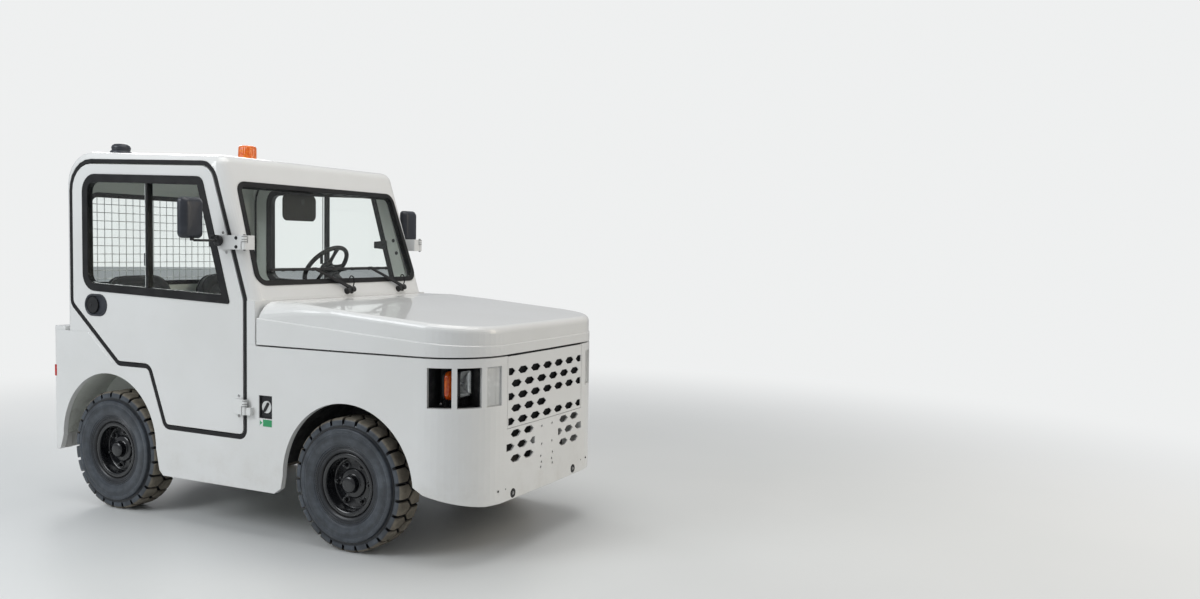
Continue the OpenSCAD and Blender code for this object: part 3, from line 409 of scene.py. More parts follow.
class Build:
    # collects forms in one mesh, turns them into a piece and starts anew
    def __init__(self):
        self.mesh = bmesh.new()

    def faces(self, points, polygons, at=still):
        made = [self.mesh.verts.new(at @ Vector(p)) for p in points]
        for polygon in polygons:
            if len(set(polygon)) > 2:
                self.mesh.faces.new([made[i] for i in dict.fromkeys(polygon)])

    def grid(self, rows, at=still, around=False, stacked=False):
        # rows of points with equal counts; around closes each row, stacked closes the rows
        n, m = len(rows), len(rows[0])
        polygons = []
        for i in range(n if stacked else n - 1):
            for j in range(m if around else m - 1):
                k, l = (i + 1) % n, (j + 1) % m
                polygons.append((i * m + j, i * m + l, k * m + l, k * m + j))
        self.faces([p for row in rows for p in row], polygons, at)

    def tube(self, rows, at=still, ends=(True, True)):
        # closed rows, with the first and the last filled where ends says so
        self.grid(rows, at, True)
        for row, filled in ((rows[0][::-1], ends[0]), (rows[-1], ends[1])):
            if filled:
                self.faces(row, [tuple(range(len(row)))], at)

    def spin(self, profile, steps=48, at=still):
        # profile of (radius, height) about Z
        rows = [[(r * cos(2 * pi * k / steps), r * sin(2 * pi * k / steps), z) for k in range(steps)]
                for r, z in profile]
        self.grid(rows, at, True)

    def prism(self, outline, low, high, at=still, taper=0.0):
        # outline in X and Y, drawn from low to high
        n = len(outline)
        centre = sum((Vector(p) for p in outline), Vector((0, 0))) / n
        top = [centre + (Vector(p) - centre) * (1 - taper) for p in outline]
        points = [(*p, low) for p in outline] + [(*p, high) for p in top]
        sides = [(i, (i + 1) % n, (i + 1) % n + n, i + n) for i in range(n)]
        self.faces(points, sides + [tuple(range(n))[::-1], tuple(range(n, 2 * n))], at)

    def block(self, low, high, at=still):
        # between two opposite corners
        outline = [(low[0], low[1]), (high[0], low[1]), (high[0], high[1]), (low[0], high[1])]
        self.prism(outline, low[2], high[2], at)

    def rod(self, path, radius, sides=12, at=still, ends=True):
        # a round rod along points; radius is one number or one for each point
        path = [Vector(p) for p in path]
        sizes = radius if isinstance(radius, (list, tuple)) else [radius] * len(path)
        rows, across = [], None
        for i, p in enumerate(path):
            along = (path[min(i + 1, len(path) - 1)] - path[max(i - 1, 0)]).normalized()
            if across is None:
                across = along.orthogonal().normalized()
            across = (across - along * across.dot(along)).normalized()
            other = along.cross(across)
            rows.append([p + (across * cos(2 * pi * k / sides) + other * sin(2 * pi * k / sides)) * sizes[i]
                         for k in range(sides)])
        self.tube(rows, at, (ends, ends))

    def bolt(self, place, out, radius=0.007, height=0.006, washer=1.5):
        # hexagon head on a washer
        at = facing(place, out)
        self.spin([(0, 0), (radius * washer, 0), (radius * washer, 0.0014), (0, 0.0014)], 20, at)
        hexagon = [(radius * cos(k * pi / 3), radius * sin(k * pi / 3)) for k in range(6)]
        self.prism(hexagon, 0.0014, height, at, 0.06)

    def data(self, name, joined=True):
        # the mesh, with doubled points joined and faces turned outwards
        data = bpy.data.meshes.new(name)
        if joined:
            bmesh.ops.remove_doubles(self.mesh, verts=self.mesh.verts, dist=1e-6)
        bmesh.ops.recalc_face_normals(self.mesh, faces=self.mesh.faces)
        self.mesh.to_mesh(data)
        self.mesh.clear()
        return data

    def done(self, name, finish, rides, slot, replaces=(), **more):
        finished(name, self.data(name), finish, rides, slot, replaces, **more)


def finished(name, data, finish, rides, slot, replaces=(), bevel=0.0, steps=2, divide=0, smooth=32, at=None):
    # links a piece, shades it and says what it rides on and stands for
    piece = bpy.data.objects.new(name, data)
    bpy.context.scene.collection.objects.link(piece)
    if not data.materials:
        data.materials.append(finishes[finish])
    data.shade_smooth()
    data.set_sharp_from_angle(angle=math.radians(smooth))
    if at is not None:
        piece.matrix_world = at
    if bevel:
        edge = piece.modifiers.new("edge", "BEVEL")
        edge.width, edge.segments, edge.harden_normals = bevel, steps, True
        edge.limit_method, edge.angle_limit = "ANGLE", math.radians(28)
    if divide:
        rounded = piece.modifiers.new("round", "SUBSURF")
        rounded.levels = rounded.render_levels = divide
    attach(piece, rides)
    if replaces:
        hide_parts(*replaces)
    return piece


def facing(place, out, turn=0.0):
    # a frame at place whose Z looks along out
    out = Vector(out).normalized()
    across = Vector((0, 0, 1)).cross(out)
    across = across.normalized() if across.length > 1e-4 else Vector((1, 0, 0))
    basis = Matrix((across, out.cross(across), out)).transposed().to_4x4()
    return Matrix.Translation(place) @ basis @ Matrix.Rotation(turn, 4, "Z")


def roundRect(width, height, radius, steps=6, foot=None):
    # foot is the radius of the two lower corners where it differs
    points = []
    for i, (sx, sy) in enumerate(((1, 1), (-1, 1), (-1, -1), (1, -1))):
        r = radius if sy > 0 or foot is None else foot
        for k in range(steps + 1):
            a = (i + k / steps) * pi / 2
            points.append((sx * (width / 2 - r) + r * cos(a), sy * (height / 2 - r) + r * sin(a)))
    return points


bothSides = ((-1, "right"), (1, "left"))

# tyres

tyre = {
    "outer": 0.338, "lugs": 25, "groove": 0.0165, "floor": 0.318, "zigzag": 0.017, "edge": 0.0022,
    # shoulder of a lug: across, radius
    "shoulder": [(0.058, 0.3378), (0.068, 0.3366), (0.075, 0.3336), (0.0795, 0.3285), (0.0815, 0.3215),
                 (0.0822, 0.312), (0.0818, 0.302)],
    # carcass: across, radius
    "carcass": [(0, 0.318), (0.056, 0.318), (0.068, 0.315), (0.0755, 0.308), (0.0795, 0.3035),
                (0.0802, 0.301), (0.0796, 0.2985), (0.0786, 0.295), (0.0784, 0.291), (0.0794, 0.2882),
                (0.084, 0.2866), (0.09, 0.2856), (0.0934, 0.2838), (0.0949, 0.28), (0.0952, 0.274),
                (0.0949, 0.268), (0.0941, 0.264), (0.0931, 0.2632), (0.093, 0.26), (0.0942, 0.257),
                (0.0944, 0.247), (0.0936, 0.233), (0.092, 0.221), (0.0898, 0.211), (0.0872, 0.2045),
                (0.0846, 0.203), (0.0843, 0.2), (0.086, 0.198), (0.0858, 0.195), (0.0832, 0.1932),
                (0.0829, 0.1905), (0.0846, 0.1885), (0.0842, 0.185), (0.0815, 0.1832), (0.0811, 0.1808),
                (0.0824, 0.178), (0.0812, 0.172), (0.078, 0.1665), (0.074, 0.1625), (0.069, 0.1605),
                (0.064, 0.16)],
}


def tyreMesh():
    b = Build()
    t = tyre
    pitch = 2 * pi / t["lugs"]
    half = t["groove"] / 2 / t["outer"] / pitch
    columns = [-0.5 + half + s * (1 - 2 * half) for s in (0, 0.028, 0.2, 0.4, 0.5, 0.6, 0.8, 0.972, 1)]
    for side in (-1, 1):
        for lug in range(t["lugs"]):
            start = lug + (0.5 if side > 0 else 0.0)
            rows = []
            ends = [(0.0, t["edge"]), (0.0025, 0.0006), (0.012, 0.0), (0.03, 0.0)]
            for j in range(len(ends) + len(t["shoulder"])):
                row = []
                for i, c in enumerate(columns):
                    inner = t["zigzag"] * (abs(c) * 4 - 1) + t["groove"] / 2 * 1.15
                    drop = t["edge"] if i in (0, len(columns) - 1) else 0.0
                    if j < len(ends):
                        v, r = inner + ends[j][0], t["outer"] - max(ends[j][1], drop)
                    else:
                        v, r = t["shoulder"][j - len(ends)]
                        v = max(v, inner + 0.034)
                        r -= drop
                    a = (start + c) * pitch
                    row.append((r * cos(a), side * v, r * sin(a)))
                rows.append(row)
            b.grid(rows)
            # walls down to the groove floor, on three sides
            rim = [row[0] for row in rows[::-1]] + rows[0][1:] + [row[-1] for row in rows[1:]]
            low = []
            for x, y, z in rim:
                r = math.hypot(x, z)
                deep = t["floor"] - 0.004 if abs(y) < 0.075 else max(r - 0.02, 0.296)
                share = min(deep, r - 0.002) / r
                low.append((x * share, y * (1.0 if abs(y) < 0.075 else 0.955), z * share))
            b.grid([rim, low])
    profile = [(r, -v) for v, r in t["carcass"][::-1]] + [(r, v) for v, r in t["carcass"][1:]]
    b.spin(profile, 150, Matrix.Rotation(pi / 2, 4, "X"))
    return b.data("tyre", joined=False)


# rims: radius, distance outwards from the wheel's middle plane
rim = {
    "face": [(0.15, -0.064), (0.15, 0.064), (0.1585, 0.066), (0.1592, 0.0705), (0.1575, 0.074),
             (0.153, 0.076), (0.147, 0.0764), (0.1415, 0.0752), (0.1375, 0.0725), (0.1352, 0.068),
             (0.1342, 0.06), (0.1334, 0.033), (0.1322, 0.023), (0.13, 0.0175), (0.127, 0.015),
             (0.123, 0.0142), (0.122, 0.0165), (0.08, 0.018), (0.076, 0.0195), (0.0725, 0.029),
             (0.069, 0.032), (0.06, 0.0332), (0.055, 0.0345), (0.048, 0.0352), (0.045, 0.0375),
             (0.0438, 0.043), (0.0432, 0.059), (0.0424, 0.063), (0.0402, 0.0668), (0.0365, 0.0696),
             (0.031, 0.0716), (0.024, 0.0728), (0.014, 0.0735), (0.0, 0.0738)],
    "back": [(0.15, -0.064), (0.159, -0.068), (0.1575, -0.074), (0.15, -0.075), (0.145, -0.07),
             (0.1425, -0.04), (0.14, 0.004), (0.056, 0.006), (0.054, -0.044), (0.024, -0.048)],
    "nuts": 6, "nutCircle": 0.1, "nutRadius": 0.0125, "valve": 0.118,
}


def rimMesh():
    b = Build()
    outwards = Matrix.Rotation(pi / 2, 4, "X")  # Z to -Y
    b.spin(rim["face"], 96, outwards)
    b.spin(rim["back"], 64, outwards)
    for k in range(rim["nuts"]):
        a = pi + k * 2 * pi / rim["nuts"]
        place = (rim["nutCircle"] * cos(a), -0.0168, rim["nutCircle"] * sin(a))
        at = facing(place, (0, -1, 0), a)
        b.spin([(0, 0), (0.0215, 0), (0.0215, 0.003), (0.019, 0.0042), (0.015, 0.0048), (0, 0.0048)], 28, at)
        hexagon = [(rim["nutRadius"] * cos(i * pi / 3), rim["nutRadius"] * sin(i * pi / 3)) for i in range(6)]
        b.prism(hexagon, 0.0048, 0.019, at, 0.05)
        b.spin([(0.0072, 0.018), (0.0072, 0.0262), (0.006, 0.0275), (0, 0.0275)], 16, at)
    a = pi * 0.42
    stem = [(rim["valve"] * cos(a), -0.015, rim["valve"] * sin(a)), (0.12 * cos(a), -0.034, 0.12 * sin(a)),
            (0.124 * cos(a), -0.052, 0.124 * sin(a))]
    b.rod(stem, [0.0055, 0.0042, 0.0048], 10)
    return b.data("rim", joined=False)


def makeWheels():
    tyreData, rimData = tyreMesh(), rimMesh()
    for i, (name, (x, y)) in enumerate(wheels.items()):
        at = Matrix.Translation((x, y, axleHeight)) @ Matrix.Rotation(pi if y > 0 else 0, 4, "Z")
        tyreTurned, rimTurned = tyreData.copy(), rimData.copy()
        for data in (tyreTurned, rimTurned):
            data.transform(Matrix.Rotation(0.37 * i, 4, "Y"))
        finished("tyre_" + name + "_lugged", tyreTurned, "tyre", "wheel_" + name, "tyre", ["tyre_" + name],
                 at=at)
        finished("rim_" + name + "_dished", rimTurned, "rim", "wheel_" + name, "black_rim", ["rim_" + name],
                 smooth=24, at=at)
    print("wheels made")


# panels that keep the part's form, with their curves shaded round

pressed = {
    "paint": {"body_shell": "chassis", "grille_panel": "chassis", "bonnet": "bonnet_lid"},
    "cabPaint": {"cab_shell": "chassis", "door_panel_right": "door_right", "door_panel_left": "door_left"},
    "seal": {"rubber_seals": "chassis", "door_window_right": "door_right", "door_window_left": "door_left"},
}


shutLines = {"grille_panel": 0.0022}  # how far a lid's edges stand back from its opening


def makePressed():
    for finish, panels in pressed.items():
        for name, rides in panels.items():
            data = cad[name].data.copy()
            for extra in ("custom_normal", "sharp_face"):
                if extra in data.attributes:
                    data.attributes.remove(data.attributes[extra])
            data.materials.clear()
            if name in shutLines:
                gap, (low, high) = shutLines[name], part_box(name)
                for v in data.vertices:
                    for k in (1, 2):
                        middle, reach = (low[k] + high[k]) / 2, (high[k] - low[k]) / 2
                        v.co[k] = middle + (v.co[k] - middle) * (reach - gap) / reach
            slot = "black_rubber" if finish == "seal" else "white_paint"
            piece = finished(name + "_pressed", data, finish, rides, slot, [name], smooth=26)
            even = piece.modifiers.new("even", "WEIGHTED_NORMAL")
            even.keep_sharp, even.weight = True, 90
    print("panels pressed")


# lamps in the nose corners

noseCorner = {"x": 1.165, "y": 0.406, "radius": 0.3}
headlamp = {"turn": 46, "depth": 0.086, "width": 0.106, "low": 0.811, "high": 0.942, "corner": 0.014}
indicator = {"turn": 29.3, "depth": 0.078, "width": 0.08, "low": 0.796, "high": 0.942, "corner": 0.034}
blank = {"turn": 74.5, "depth": 0.007, "width": 0.0934, "low": 0.7683, "high": 0.9597}
bracket = {
    "at": (1.244, 0.616, 0.002), "bolt": (1.247, 0.635, 0.018), "turn": 0.35,
    "outline": [(0.008, 0), (0.03, 0), (0.03, 0.022), (0.022, 0.03), (0.008, 0.03)],
}
pocketFloor = 0.764


def cornerFrame(unit, side, out=(1, 0, 0)):
    reach, a = noseCorner["radius"] - unit["depth"], math.radians(unit["turn"])
    middle = (unit["low"] + unit["high"]) / 2
    return facing((noseCorner["x"] + reach * sin(a), side * (noseCorner["y"] + reach * cos(a)), middle), out)


def shell(b, sections, at, ends=(True, True)):
    # sections of (width, height, corner radius, level)
    b.tube([[(x, y, level) for x, y in roundRect(w, h, r)] for w, h, r, level in sections], at, ends)


def plate(w, h, *steps):
    # sections of a plate; a step is (inset, corner radius, level)
    return [(w - step, h - step, r, level) for step, r, level in steps]


def crown(w, h, r, base, rise, steps=5, smallest=0.12):
    # sections of a domed front
    found = []
    for k in range(steps + 1):
        s = 1 - (1 - smallest) * k / steps
        found.append((w * s, h * s, max(r * s, 0.0005), base + rise * (1 - s * s)))
    return found


def makeCornerLamps():
    for side, word in bothSides:
        unit = headlamp
        at = cornerFrame(unit, side)
        w, h, r = unit["width"], unit["high"] - unit["low"], unit["corner"]
        b = Build()
        shell(b, [(w * 0.8, h * 0.84, r, -0.019), (w * 0.9, h * 0.92, r, -0.016),
                  (w * 0.97, h * 0.97, r, -0.004), (w, h, r, 0.004), (w, h, r, 0.0178),
                  (w - 0.002, h - 0.002, r, 0.019), (w - 0.006, h - 0.006, r, 0.019),
                  (w - 0.008, h - 0.008, r, 0.0172), (w - 0.008, h - 0.008, r, 0.012)], at, (True, False))
        foot = pocketFloor - (unit["low"] + unit["high"]) / 2
        for x in (-0.028, 0.028):
            b.block((x - 0.004, foot, -0.019), (x + 0.004, -h / 2 + 0.012, -0.004), at)
        b.block((-0.034, foot, -0.019), (0.034, foot + 0.003, 0.01), at)
        b.done(f"headlamp_housing_{word}", "plastic", "chassis", "black_plastic",
               ["headlamps"] if side < 0 else [], bevel=0.0008)
        bowl = [(w - 0.009, h - 0.009, r, 0.0122), (w - 0.013, h - 0.013, r, 0.0112)]
        bowl += [(w * s, h * s * 0.98, max(r * s, 0.001), 0.0105 - 0.026 * (1 - s ** 2.2))
                 for s in (0.86, 0.76, 0.64, 0.5, 0.36, 0.24, 0.16)]
        shell(b, bowl, at, (False, True))
        b.spin([(0.0095, -0.015), (0.0095, -0.008), (0.008, -0.007), (0.0, -0.007)], 24, at)
        b.done(f"headlamp_reflector_{word}", "chrome", "chassis", "lamp_glass", smooth=50)
        b.spin([(0.005, -0.007), (0.0056, -0.001), (0.004, 0.004), (0.0, 0.0052)], 16, at)
        b.done(f"headlamp_bulb_{word}", "greyPlastic", "chassis", "lamp_glass", smooth=60)
        face = crown(w - 0.009, h - 0.009, r, 0.014, 0.0042)
        back = [(a, c, d, level - 0.0018) for a, c, d, level in face[::-1]]
        shell(b, face, at, (False, True))
        shell(b, back, at, (True, False))
        shell(b, [face[0], back[-1]], at, (False, False))
        b.done(f"headlamp_lens_{word}", "lampGlass", "chassis", "lamp_glass", smooth=60)

        unit = indicator
        at = cornerFrame(unit, side)
        w, h, r = unit["width"], unit["high"] - unit["low"], unit["corner"]
        b = Build()
        shell(b, plate(w, h, (0.006, r, -0.018), (0, r, -0.016), (0, r, -0.0075), (0.003, r, -0.006)), at)
        foot = pocketFloor - (unit["low"] + unit["high"]) / 2
        b.block((-0.015, foot, -0.018), (0.015, -h / 2 + 0.02, -0.012), at)
        b.done(f"indicator_base_{word}", "plastic", "chassis", "black_plastic",
               ["indicators"] if side < 0 else [], bevel=0.0008)
        sections = [(w - 0.007, h - 0.007, r, -0.0065), (w - 0.006, h - 0.006, r, 0.002)]
        sections += crown(w - 0.008, h - 0.008, r, 0.0068, 0.01)
        shell(b, sections, at)
        for x in (-0.02, -0.01, 0, 0.01, 0.02):
            b.block((x - 0.0008, -h * 0.36, 0.006), (x + 0.0008, h * 0.36, 0.015 - abs(x) * 0.1), at)
        b.done(f"indicator_lens_{word}", "orange", "chassis", "orange_lens", smooth=50)
        (x, y, z), (bx, by, bz), out = bracket["at"], bracket["bolt"], (1, bracket["turn"] * side, 0)
        b.prism(bracket["outline"], -0.0015, 0.0015, facing((x, side * y, pocketFloor + z), out))
        b.bolt((bx, side * by, pocketFloor + bz), out, 0.0042, 0.005)
        b.done(f"indicator_bracket_{word}", "bolt", "chassis", "dark_steel")

        unit = blank
        a = math.radians(unit["turn"])
        out = (sin(a), side * cos(a), 0)
        at = cornerFrame(unit, side, out)
        w, h = unit["width"], unit["high"] - unit["low"]
        b = Build()
        shell(b, plate(w, h, (0, 0.002, -0.027), (0, 0.002, -0.0035), (0.002, 0.002, -0.0025),
                       (0.006, 0.002, -0.0025), (0.007, 0.002, -0.0018), (0.01, 0.002, -0.0012)), at)
        b.block((0.016, -h * 0.47, -0.0016), (0.0172, h * 0.47, -0.0004), at)
        b.done(f"corner_cover_{word}", "frosted", "chassis", "lamp_glass")
    print("nose corner lamps made")


# mirrors and handles on the doors

mirror = {
    "at": (-0.11, 0.9, 1.66), "width": 0.14, "height": 0.21, "corner": 0.026,
    "clamp": (-0.075, 0.78, 1.545), "clampFoot": 0.75, "lug": (0.752, 0.772), "rod": 0.0065,
}
handle = {"at": (-1.078, 0.7268, 1.168), "long": 0.094, "tall": 0.063}


def makeDoorFittings():
    for side, word in bothSides:
        rides = "door_" + word
        x, y, z = mirror["at"]
        at = facing((x, side * y, z), (1, 0, 0))
        w, h, r = mirror["width"], mirror["height"], mirror["corner"]
        b = Build()
        shell(b, [(w - 0.012, h - 0.012, r * 0.8, -0.0205), (w - 0.01, h - 0.01, r * 0.8, -0.024),
                  (w - 0.006, h - 0.006, r, -0.025), (w - 0.001, h - 0.001, r, -0.024), (w, h, r, -0.02),
                  (w, h, r, -0.006), (w - 0.004, h - 0.004, r, 0.001),
                  (w - 0.034, h - 0.026, r * 0.8, 0.0178), (w - 0.042, h - 0.034, r * 0.8, 0.0205),
                  (w - 0.058, h - 0.06, r * 0.7, 0.0228), (w - 0.1, h - 0.12, r * 0.5, 0.0243),
                  (0.008, 0.016, 0.003, 0.0248)], at)
        b.done(f"mirror_shell_{word}", "softPlastic", rides, "black_plastic", ["door_fittings_" + word],
               smooth=40)
        shell(b, plate(w, h, (0.0125, r * 0.8, -0.0208), (0.014, r * 0.8, -0.0214)), at)
        b.done(f"mirror_glass_{word}", "mirrorGlass", rides, "black_plastic")
        cx, cy, cz = mirror["clamp"]
        b = Build()
        path = [(x, side * y, z - h / 2 + 0.008), (x, side * y, cz + 0.014),
                (x + 0.002, side * (y - 0.002), cz + 0.005), (x + 0.009, side * (y - 0.008), cz),
                (cx - 0.004, side * (y - 0.022), cz), (cx, side * (y - 0.034), cz),
                (cx, side * (cy + 0.004), cz)]
        b.rod(path, mirror["rod"], 14)
        b.spin([(0.0095, 0), (0.0095, 0.02), (0.008, 0.022), (0.0068, 0.022)], 18,
               facing((x, side * y, z - h / 2 - 0.012), (0, 0, 1)))
        disc = facing((cx, side * mirror["clampFoot"], cz), (0, side, 0))
        b.spin([(0.0, 0.0), (0.024, 0.0), (0.024, 0.003), (0.0275, 0.006), (0.029, 0.011), (0.029, 0.017),
                (0.027, 0.0205), (0.0205, 0.0235), (0.019, 0.0245), (0.012, 0.0275), (0.01, 0.0315),
                (0.0, 0.032)], 40, disc)
        for turn in range(3):
            spoke = disc @ Matrix.Rotation(0.5 + turn * 2 * pi / 3, 4, "Z")
            b.block((0.011, -0.0022, 0.02), (0.0255, 0.0022, 0.0246), spoke)
        near, far = mirror["lug"]
        b.block((cx - 0.052, side * far, cz + 0.004), (cx - 0.02, side * near, cz + 0.03))
        b.bolt((cx - 0.036, side * far, cz + 0.017), (0, side, 0), 0.005, 0.005)
        b.done(f"mirror_arm_{word}", "blackMetal", rides, "black_plastic", bevel=0.001)

        hx, hy, hz = handle["at"]
        at = facing((hx, side * hy, hz), (0, side, 0))
        wide, tall = 2 * handle["long"], 2 * handle["tall"]
        b = Build()
        r = handle["tall"]
        shell(b, plate(wide, tall, (0, r * 0.98, -0.004), (0.002, r * 0.97, 0.0), (0.007, r * 0.94, 0.001),
                       (0.016, r * 0.86, 0.0004), (0.022, r * 0.81, -0.0022), (0.026, r * 0.78, -0.012)), at,
              (False, True))
        b.done(f"handle_bezel_{word}", "softPlastic", rides, "black_plastic", smooth=40)
        # paddle over the rear part of the dish, with a crescent of finger room ahead of it
        grip = []
        radius, ahead = handle["tall"] - 0.016, handle["long"] - handle["tall"]
        for k in range(15):
            a = pi / 2 + k * pi / 14
            grip.append((-ahead + radius * cos(a), radius * sin(a)))
        for k in range(11):
            a = -pi * 0.42 + k * pi * 0.84 / 10
            grip.append((-0.016 + 0.044 * cos(a) - 0.012, radius * 0.96 * sin(a) / sin(pi * 0.42)))
        flip = Matrix.Scale(-side, 4, (1, 0, 0))  # finger room at the front edge on both doors
        b.prism(grip, -0.0118, -0.003, at @ flip, 0.02)
        b.spin([(0.0082, -0.0035), (0.0082, -0.0012), (0.007, -0.0006), (0.0, -0.0006)], 24,
               at @ flip @ Matrix.Translation((-0.046, 0.0, 0.0)))
        b.done(f"handle_paddle_{word}", "plastic", rides, "black_plastic", bevel=0.0022, steps=3)
    print("mirrors and handles made")


# hinge bolts, screws and barrel rings

hinges = {
    "x": 0.092, "y": 0.744, "levels": ((0.643, 0.722), (1.5, 1.574)), "barrel": 0.0132,
    # x and height on the door
    "bolts": ((0.04, 1.56), (0.04, 1.514)), "boltFace": 0.75,
    "screws": ((-0.056, 1.484), (-0.08, 1.588), (0.03, 0.735), (0.03, 0.63)),
}


def makeHingeDetails():
    for side, word in bothSides:
        b = Build()
        for x, z in hinges["bolts"]:
            b.bolt((x, side * hinges["boltFace"], z), (0, side, 0), 0.0072, 0.0062, 1.3)
        b.done(f"strap_bolts_{word}", "blackMetal", "door_" + word, "dark_steel")
        for x, z in hinges["screws"]:
            b.spin([(0.0085, 0.0), (0.0085, 0.0008), (0.006, 0.0022), (0.0, 0.0024)], 20,
                   facing((x, side * body["side"], z), (0, side, 0)))
        b.done(f"door_screws_{word}", "bolt", "door_" + word, "dark_steel", smooth=50)
        x, y, r = hinges["x"], side * hinges["y"], hinges["barrel"]
        for level, (low, high) in zip(("lower", "upper"), hinges["levels"]):
            rings = Build()
            half = (low + high) / 2
            for z in (half + 0.006, half + 0.016, high - 0.006):
                rings.spin([(r - 0.0006, -0.0013), (r + 0.0004, -0.0011), (r + 0.0004, 0.0011),
                            (r - 0.0006, 0.0013)], 28, Matrix.Translation((x, y, z)))
            for z, up in ((high, 1), (low, -1)):
                pin = [(0.0, 0.0), (0.0066, 0.0), (0.0066, up * 0.003), (0.0046, up * 0.0046),
                       (0.0, up * 0.005)]
                rings.spin(pin, 20, Matrix.Translation((x, y, z)))
            rings.done(f"hinge_pins_{level}_{word}", "blackMetal", "door_" + word, "dark_steel", smooth=50)
    print("hinge details made")


# roof lamps: the beacon and a plain dome beside it

beacon = {"x": -0.654, "ribs": 36, "fluting": 0.0006}
vent = {"x": -1.08, "y": -0.55}


def makeRoofLamps():
    tilt = Matrix.Rotation(math.atan(body["roofSlope"]), 4, "Y")
    at = Matrix.Translation((beacon["x"], 0, roofAt(beacon["x"]) + 0.0001)) @ tilt
    b = Build()
    b.spin([(0.0, 0.0), (0.0598, 0.0), (0.0598, 0.006), (0.058, 0.01), (0.0575, 0.018), (0.0565, 0.024),
            (0.054, 0.0265), (0.0, 0.0265)], 64, at)
    b.done("beacon_base", "plastic", "chassis", "black_plastic", ["roof_lamps"], bevel=0.001)
    rows = []
    for r, z in ((0.0545, 0.0265), (0.0548, 0.03), (0.0545, 0.034), (0.0535, 0.05), (0.053, 0.07),
                 (0.0522, 0.09), (0.051, 0.098), (0.047, 0.1045), (0.038, 0.1082), (0.024, 0.1096),
                 (0.006, 0.1099)):
        fluted = beacon["fluting"] if 0.034 < z < 0.1 else 0.0
        turns = [(a, r + fluted * cos(beacon["ribs"] * a)) for a in (2 * pi * k / 216 for k in range(216))]
        rows.append([(reach * cos(a), reach * sin(a), z) for a, reach in turns])
    b.tube(rows, at, (False, True))
    b.done("beacon_lens", "beacon", "chassis", "beacon_lens", smooth=50)
    at = Matrix.Translation((vent["x"], vent["y"], roofAt(vent["x"]) + 0.0001)) @ tilt
    b = Build()
    b.spin([(0.0, 0.0), (0.0598, 0.0), (0.06, 0.004), (0.0585, 0.012), (0.054, 0.019), (0.0515, 0.02),
            (0.05, 0.0215), (0.0505, 0.03), (0.0525, 0.033), (0.052, 0.04), (0.047, 0.05), (0.038, 0.057),
            (0.023, 0.0608), (0.0, 0.0618)], 56, at)
    b.done("roof_dome", "softPlastic", "chassis", "black_plastic", smooth=40)
    print("roof lamps made")


# windscreen wipers

screen = {"foot": (0.136, 0.0, 1.249), "lean": 18.26}
wiper = {"pivots": ((0.51, 0.24), (0.035, -0.24)), "blade": (-0.335, 0.17), "level": 0.149, "foot": 0.022}


